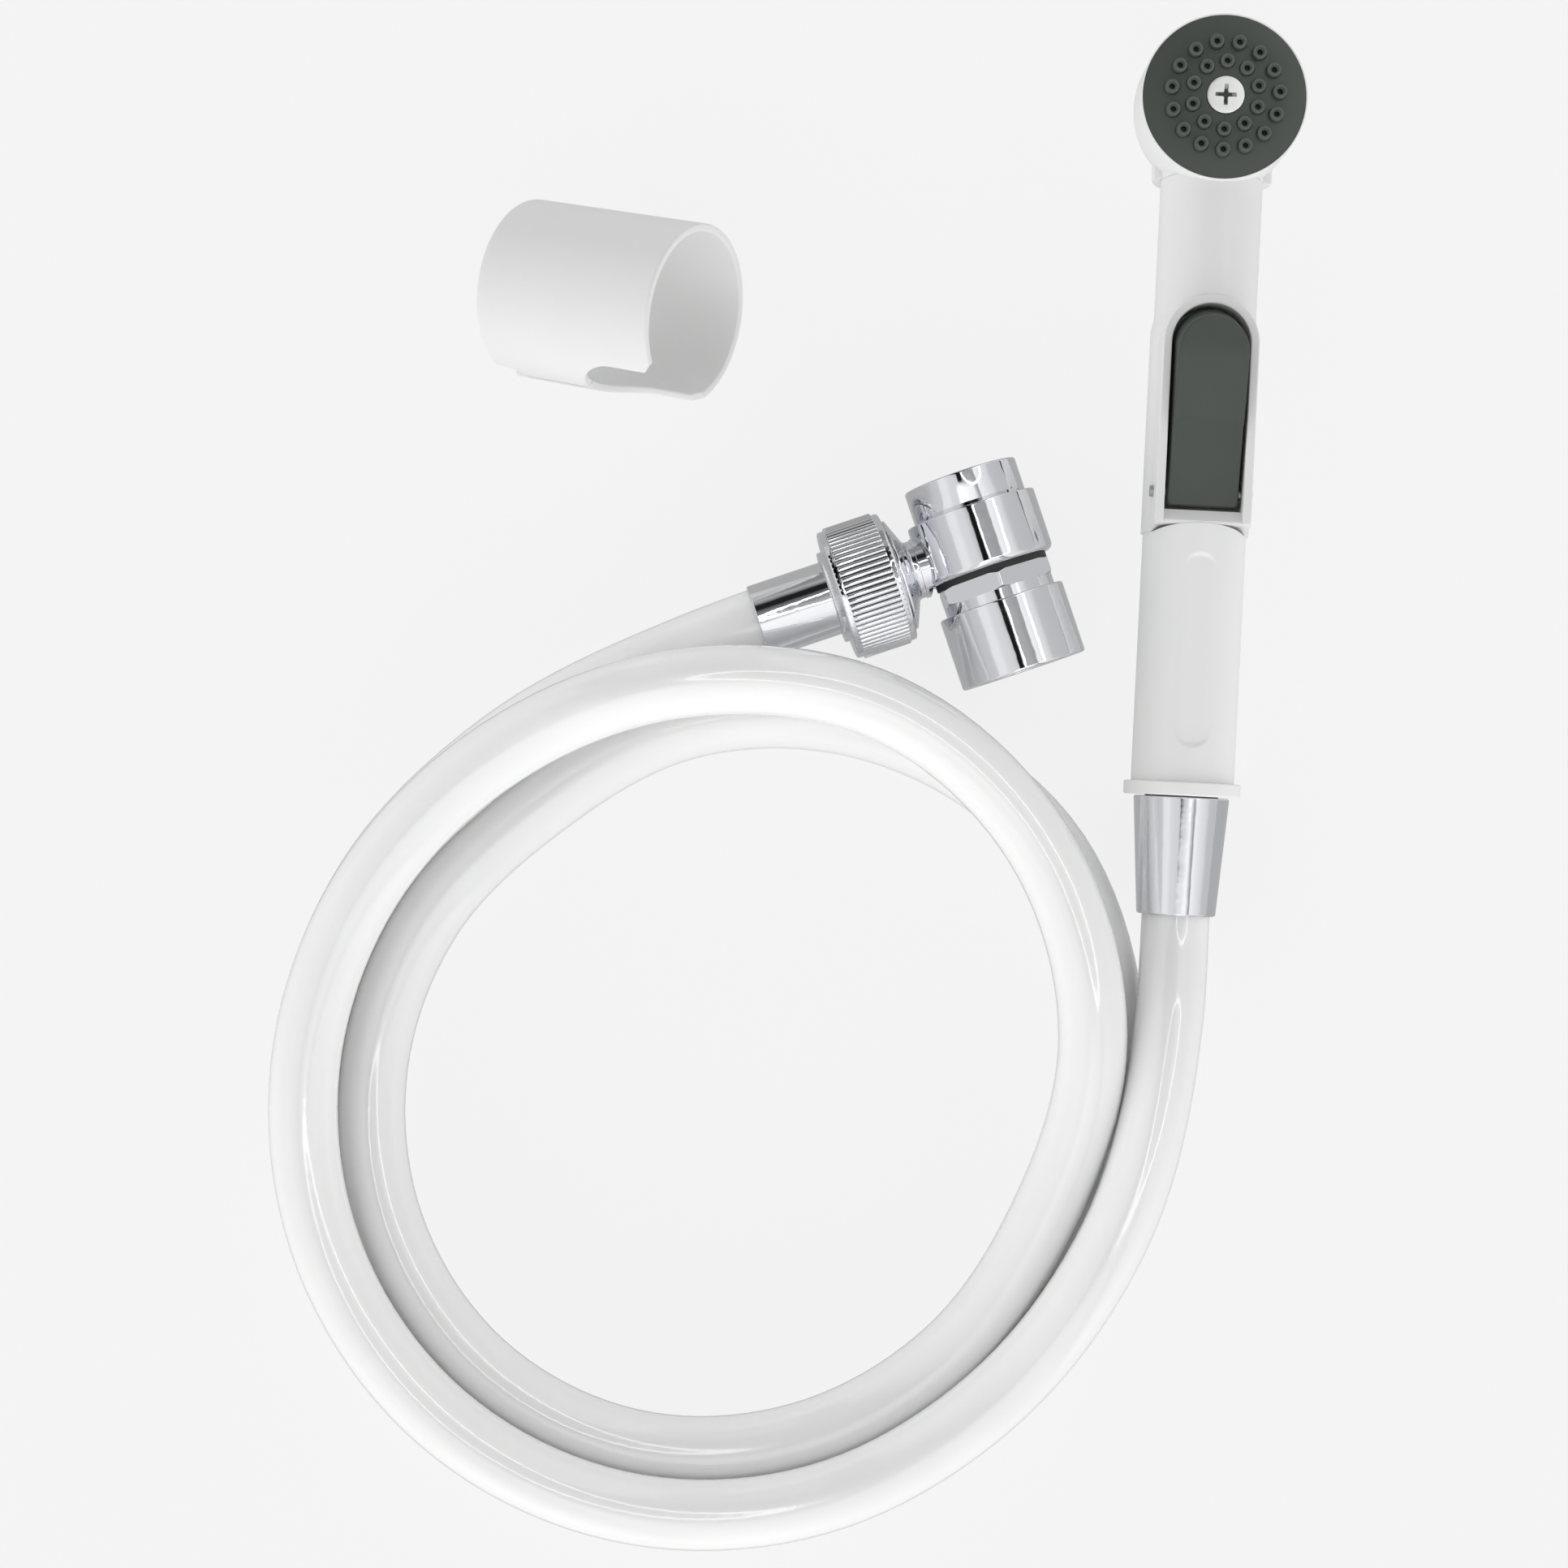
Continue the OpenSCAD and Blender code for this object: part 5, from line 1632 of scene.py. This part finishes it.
@dataclass
class SideOutlet(Assembly):
    """The knurled nut and the ferrule that hold the hose on the side outlet.

    Reaches run along the outlet, from where the diverter's axes cross.
    """

    start: float = 20.6
    end: float = 35.0
    band_r: float = 14.9
    band_edge: float = 0.5
    knurl_r: float = 15.5
    band: float = 1.5
    groove: float = 0.6
    ridges: int = 72
    bore_r: float = 10.45
    hub_r: float = 10.6
    hub_end: float = 36.4
    hub_edge: float = 0.2
    hub_bore_r: float = 8.8
    ferrule_r: float = 8.5
    ferrule_bore_r: float = 7.85
    ferrule_start: float = 32.6
    ferrule_end: float = 53.8
    ferrule_facets: int = 128

    def build(self) -> None:
        """Makes and dresses the nut and the ferrule."""
        self._nut()
        corners = [
            (self.ferrule_bore_r, self.ferrule_start, 0),
            (self.ferrule_r, self.ferrule_start, 0),
            (self.ferrule_r, self.ferrule_end, 0.4),
            (self.ferrule_bore_r, self.ferrule_end, 0.25),
        ]
        tube = lathe(rounded(corners), segments=self.ferrule_facets).turned(90, "Z")
        ferrule = tube.build("crimped_ferrule", self.layout.diverter)
        self.place_piece(ferrule, "sprayer", CHROME, "hose_ferrule")
        self.dress(SEAL_RUBBER, "sink_washer")

    def _profile(self) -> list[tuple[float, float, bool]]:
        """Returns the nut's profile: a radius, a reach, and whether the ridges cut it."""
        root_r = self.knurl_r - self.groove
        low, high = self.start + self.band, self.end - self.band
        return [
            (self.bore_r, self.start, False),
            (self.band_r - self.band_edge, self.start, False),
            (self.band_r - 0.15, self.start + 0.15, False),
            (self.band_r, self.start + self.band_edge, False),
            (self.band_r, low - 0.05, False),
            (root_r, low, False),
            (root_r + 0.05, low, True),
            (self.knurl_r, low + 0.25, True),
            (self.knurl_r, high - 0.25, True),
            (root_r + 0.05, high, True),
            (root_r, high, False),
            (self.band_r, high + 0.05, False),
            (self.band_r, self.end - self.band_edge, False),
            (self.band_r - 0.15, self.end - 0.15, False),
            (self.band_r - self.band_edge, self.end, False),
            (self.hub_r, self.end, False),
            (self.hub_r, self.hub_end - self.hub_edge, False),
            (self.hub_r - self.hub_edge, self.hub_end, False),
            (self.hub_bore_r, self.hub_end, False),
            (self.hub_bore_r, self.end - 1, False),
            (self.bore_r, self.end - 1, False),
        ]

    def _nut(self) -> None:
        """Makes the knurled nut: polished bands, straight ridges and a hub."""
        root_r = self.knurl_r - self.groove
        share = (0.0, 0.14, 0.20, 0.80, 0.86)
        sunk = (1.0, 1.0, 0.12, 0.12, 1.0)
        rows = []
        for radius, y, ridged in self._profile():
            row = []
            for ridge in range(self.ridges):
                for part, depth in zip(share, sunk):
                    bearing = 2 * math.pi * (ridge + part) / self.ridges
                    reach = max(radius - self.groove * depth, root_r) if ridged else radius
                    row.append((reach * math.cos(bearing), y, reach * math.sin(bearing)))
            rows.append(row)
        form = loft(rows, join_ends=True).turned(90, "Z")
        nut = form.build("knurled_ring", self.layout.diverter)
        self.place_piece(nut, "knurled_nut", CHROME, "knurled_nut")
        self._paint_groove_shade(nut)

    def _paint_groove_shade(self, nut: bpy.types.Object) -> None:
        """Paints shade on the floors of the nut's grooves, as a near-black chrome.

        Args:
            nut: the knurled nut.
        """
        nut.data.materials.append(GROOVE_PAINTED_SHADE.material())
        place = self.layout.diverter
        for face in nut.data.polygons:
            at = place.turn.transposed() @ (face.center - place.origin) / MM
            deep = math.hypot(at.y, at.z) < self.knurl_r - self.groove * 0.85
            if deep and self.start + self.band < -at.x < self.end - self.band:
                face.material_index = 1


@dataclass
class HolderSleeve(Assembly):
    """The loose slotted sleeve that holds the handset.

    Places along the sleeve are from its rear end; `mouth` is the front slot's width at its end.
    """

    outer_r: float = 19.8
    wall: float = 1.7
    length: float = 44.8
    slot: float = 21.0
    mouth: float = 25.0
    front_slot: float = 21.4
    rear_slot: float = 5.8
    rear_width: float = 8.2
    slot_angle: float = 2.0
    flare: float = 2.2
    edge: float = 0.5
    columns: int = 150

    def build(self) -> None:
        """Makes and dresses the sleeve, from rows that follow the slots' edges."""
        front = self.length - self.front_slot
        ease = [math.sin(math.pi / 2 * k / 30) for k in range(31)]
        rear_rim = [self.edge * (1 - math.sin(math.radians(18 * k))) for k in range(5, -1, -1)]
        rows = [self._row(y) for y in rear_rim]
        rows += [self._row(self.edge + (self.rear_slot - self.edge) * share) for share in ease[1:]]
        gap = front - self.rear_slot
        rows += [self._row(self.rear_slot + gap * k / 12) for k in range(1, 13)]
        round_l = self.slot / 2
        rows += [self._row(front + round_l * (1 - share)) for share in reversed(ease[:-1])]
        last = self.length - self.edge
        first = front + round_l
        rows += [self._row(first + (last - first) * k / 24) for k in range(1, 25)]
        rows += [self._row(self.length - y) for y in reversed(rear_rim[:-1])]
        sleeve = loft(rows).add(self._rim(rows[0])).add(self._rim(rows[-1]))
        piece = sleeve.build("slotted_sleeve", self.layout.sleeve)
        self.place_piece(piece, "holder_sleeve", SLEEVE_GLOSS, "holder_sleeve")

    def _half_gap(self, y: float) -> float:
        """Returns half the slot's width at a place along the sleeve, or 0 between the slots.

        Args:
            y: place along the sleeve.

        Returns:
            Half the width in millimetres.
        """
        rear_r = self.rear_width / 2
        rear_centre = self.rear_slot - rear_r
        if y <= self.rear_slot:
            return math.sqrt(max(rear_r**2 - max(y - rear_centre, 0.0) ** 2, 0.0))
        front_r = self.slot / 2
        front_centre = self.length - self.front_slot + front_r
        if y < front_centre - front_r:
            return 0.0
        width = math.sqrt(max(front_r**2 - max(front_centre - y, 0.0) ** 2, 0.0))
        flare = smoothstep((y - self.length + self.flare) / self.flare)
        return width + (self.mouth / 2 - front_r) * flare

    def _row(self, y: float) -> list[Triple]:
        """Returns the wall's section at a place along the sleeve, open at the slot.

        Args:
            y: distance from the sleeve's rear end.

        Returns:
            A ring of points: the outside, a slot edge, the inside and the other edge.
        """
        end = min(y, self.length - y)
        shrink = 0.0
        if end < self.edge:
            shrink = self.edge - math.sqrt(max(self.edge**2 - (self.edge - end) ** 2, 0.0))
        gap = self._half_gap(y)
        outer, inner = self.outer_r - shrink, self.outer_r - self.wall + shrink
        corner = min(self.edge - shrink * 0.8, gap * 0.5, (outer - inner) * 0.45)
        half_angle = math.asin(gap / self.outer_r)
        columns = self.columns
        first = half_angle + corner / outer
        sweep = 2 * math.pi - 2 * first
        plain = [(first + sweep * k / columns, outer) for k in range(1, columns)]
        lead = self._edge_turn(half_angle, corner, outer, -1.0)
        tail = [(2 * math.pi - angle, radius) for angle, radius in reversed(lead)]
        lead_in = self._edge_turn(half_angle, corner, inner, 1.0)
        tail_in = [(2 * math.pi - angle, radius) for angle, radius in reversed(lead_in)]
        begin = lead_in[-1][0]
        sweep = 2 * math.pi - 2 * begin
        hollow = [(begin + sweep * k / columns, inner) for k in range(1, columns)]
        ring = lead + plain + tail + (lead_in + hollow + tail_in)[::-1]
        slot = math.radians(self.slot_angle)
        turned = [(angle + slot, radius) for angle, radius in ring]
        return [(radius * math.cos(angle), y, radius * math.sin(angle)) for angle, radius in turned]

    @staticmethod
    def _edge_turn(angle: float, corner: float, radius: float, way: float) -> list[Pair]:
        """Returns the rounding of a slot's edge, as (angle, radius) from the slot to the wall.

        Args:
            angle: angle of the slot's edge from its middle.
            corner: size of the rounding.
            radius: radius of the wall's face.
            way: 1 for the inner face and -1 for the outer one.

        Returns:
            The points of a quarter turn.
        """
        points = []
        for turn in (math.pi / 8 * k for k in range(5)):
            along = angle + corner * (1 - math.cos(turn)) / radius
            points.append((along, radius + way * corner * (1 - math.sin(turn))))
        return points

    @staticmethod
    def _rim(row: Sequence[Triple]) -> Form:
        """Returns the flat face that closes the wall's section at one end.

        Args:
            row: the section at that end.

        Returns:
            The face.
        """
        half = len(row) // 2
        faces = [(k, k + 1, len(row) - 2 - k, len(row) - 1 - k) for k in range(half - 1)]
        return Form(list(row), faces)


# ---------------------------------------------------------------- studio

# Each pair is a measure of a direction and the brightness there. TENT_LIGHT runs up from the
# horizon. Only polished pieces mirror the rest: MIRROR_ALONG and STAY_REACH run along the turned
# north axis, RING_LIGHT runs out from the lamp's centre, and the others along the east axis.
TENT_LIGHT = ((0.0, 2.1), (0.5, 1.08), (1.0, 0.38))
MIRROR_ACROSS = (
    (-1.0, 0.5), (-0.92, 0.66), (-0.8, 0.7), (-0.75, 0.95), (-0.62, 0.98), (-0.5, 0.85),
    (-0.25, 0.8), (0.0, 0.55), (0.2, 0.52), (0.37, 0.4), (0.41, 1.1), (0.6, 0.95), (0.74, 0.85),
    (0.82, 0.65), (1.0, 0.6),
)
MIRROR_ALONG = (
    (-1.0, 1.3), (-0.8, 1.8), (-0.6, 2.1), (-0.24, 2.2), (-0.16, 1.5), (-0.1, 1.0), (0.02, 0.95),
    (0.15, 0.65), (0.35, 0.4), (0.48, 0.22), (0.53, 0.03), (0.72, 0.03), (0.78, 0.45), (0.86, 0.9),
    (0.92, 0.55), (1.0, 0.55),
)
MIRROR_PATCH = ((-1.0, 0.0), (-0.35, 0.0), (-0.22, 1.0), (0.22, 1.0), (0.35, 0.0), (1.0, 0.0))
MIRROR_STAY = ((-1.0, 1.0), (-0.21, 1.0), (-0.18, 0.02), (-0.06, 0.02), (-0.03, 1.0), (1.0, 1.0))
STAY_REACH = ((-1.0, 0.0), (-0.12, 0.0), (-0.06, 1.0), (1.0, 1.0))
RING_LIGHT = ((0.0, 0.0), (0.275, 0.0), (0.285, 1.0), (0.315, 1.0), (0.325, 0.0), (1.0, 0.0))


@dataclass
class Studio:
    """The pale floor, the soft light and the camera above it."""

    camera: Triple = (-18.6, -75.0, 605.2)
    camera_roll: float = 2.83
    lens: float = 59.63
    sensor: float = 36.0
    floor_half: float = 3000.0
    floor_drop: float = 0.1
    floor_colour: tuple[float, ...] = (0.82, 0.82, 0.82, 1.0)
    floor_glow: float = 0.94
    floor_share: float = 0.86
    floor_mirrored: float = 0.5
    strength: float = 2.1
    lean: Triple = (-0.08, -0.38, 0.0)
    mirror_peak: float = 2.2
    mirror_turn: float = 21.3
    ring_centre: Pair = (0.24, 0.20)
    ring_brightness: float = 2.0

    def build(self) -> None:
        """Sets up the camera, floor, world and view settings."""
        self._camera()
        self._floor()
        self._world()
        bpy.context.scene.view_settings.view_transform = "Standard"

    def _camera(self) -> None:
        """Places the camera straight above the object."""
        data = bpy.data.cameras.new("overhead")
        data.sensor_width = self.sensor
        data.lens = self.lens
        data.clip_start = 0.01
        data.clip_end = 50.0
        camera = bpy.data.objects.new("overhead", data)
        camera.location = Vector(self.camera) * MM
        camera.rotation_euler = (0, 0, math.radians(self.camera_roll))
        bpy.context.scene.collection.objects.link(camera)
        bpy.context.scene.camera = camera

    def _floor(self) -> None:
        """Lays a wide, softly lit pale floor that is also the plain background."""
        half = self.floor_half
        edge = [(-half, -half, 0.0), (half, -half, 0.0), (half, half, 0.0), (-half, half, 0.0)]
        below = Place(Vector((0, 0, -self.floor_drop)) * MM, Matrix.Identity(3))
        floor = Form(edge, [(0, 1, 2, 3)]).build("floor", below, even=False)
        material = bpy.data.materials.new("pale_floor")
        tree = Tree(material)
        matt = {"Base Color": self.floor_colour, "Roughness": 0.9}
        shader = tree.feed(tree.nodes["Principled BSDF"], matt)
        mirrored = tree.add("ShaderNodeLightPath").outputs["Is Glossy Ray"]
        level = tree.carry(mirrored, (0.0, 1.0), (1.0, self.floor_mirrored))
        light = {"Color": (*(self.floor_glow,) * 3, 1), "Strength": level}
        glow = tree.add("ShaderNodeEmission", light)
        layers = {"Fac": self.floor_share, 1: shader.outputs["BSDF"], 2: glow.outputs["Emission"]}
        surface = tree.add("ShaderNodeMixShader", layers).outputs["Shader"]
        tree.feed(tree.nodes["Material Output"], {"Surface": surface})
        floor.data.materials.append(material)

    def _world(self) -> None:
        """Lights the scene from a tent that is bright round the horizon and dim overhead."""
        world = bpy.data.worlds.new("soft_tent")
        bpy.context.scene.world = world
        tree = Tree(world)
        place = tree.add("ShaderNodeTexCoord").outputs["Generated"]
        height = tree.add("ShaderNodeSeparateXYZ", {"Vector": place}).outputs["Z"]
        tent = tree.ramp(height, TENT_LIGHT, 0.0, self.strength)
        lift = tree.vector("ADD", tree.vector("DOT_PRODUCT", place, self.lean), (1.0, 1.0, 1.0))
        tent = tree.vector("MULTIPLY", tent, lift)
        glossy = tree.add("ShaderNodeLightPath").outputs["Is Glossy Ray"]
        light = tree.mix(glossy, tent, self._mirrored(tree, place))
        tree.feed(tree.nodes["Background"], {"Color": light, "Strength": self.strength})

    def _mirrored(self, tree: Tree, place: Socket) -> Socket:
        """Returns what polished pieces mirror: bright sheets, dark stays and a ring lamp.

        Args:
            tree: the world's nodes.
            place: the direction that is looked in.

        Returns:
            The socket of the mirrored light.
        """
        turn = math.radians(self.mirror_turn)
        east = tree.vector("DOT_PRODUCT", place, (math.cos(turn), math.sin(turn), 0.0))
        north = tree.vector("DOT_PRODUCT", place, (-math.sin(turn), math.cos(turn), 0.0))
        across = tree.ramp(east, MIRROR_ACROSS, peak=self.strength)
        along = tree.ramp(north, MIRROR_ALONG, peak=self.mirror_peak)
        along = tree.vector("MULTIPLY", along, (self.mirror_peak,) * 3)
        sheets = tree.vector("MULTIPLY", across, tree.masked(along, tree.ramp(east, MIRROR_PATCH)))
        stays = tree.masked(tree.ramp(east, MIRROR_STAY), tree.ramp(north, STAY_REACH))
        flat = tree.vector("MULTIPLY", place, (1.0, 1.0, 0.0))
        off = tree.vector("DISTANCE", flat, (*self.ring_centre, 0.0))
        lamp = tree.vector("MULTIPLY", tree.ramp(off, RING_LIGHT, 0.0), (self.ring_brightness,) * 3)
        return tree.vector("ADD", tree.vector("MULTIPLY", sheets, stays), lamp)


# ---------------------------------------------------------------- main


def corners(box: Sequence[Sequence[float]]) -> list[list[float]]:
    """Returns a box as plain lists of numbers."""
    return [[float(value) for value in corner] for corner in box]


def main() -> None:
    logging.basicConfig(level=logging.INFO, format="%(name)s: %(message)s")
    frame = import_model()
    layout = Layout.read(frame)
    Studio().build()
    for assembly in (Hose, SprayHead, Handle, Grip, Diverter, SideOutlet, HolderSleeve):
        assembly(layout, frame).build()


if __name__ == "__main__":
    main()
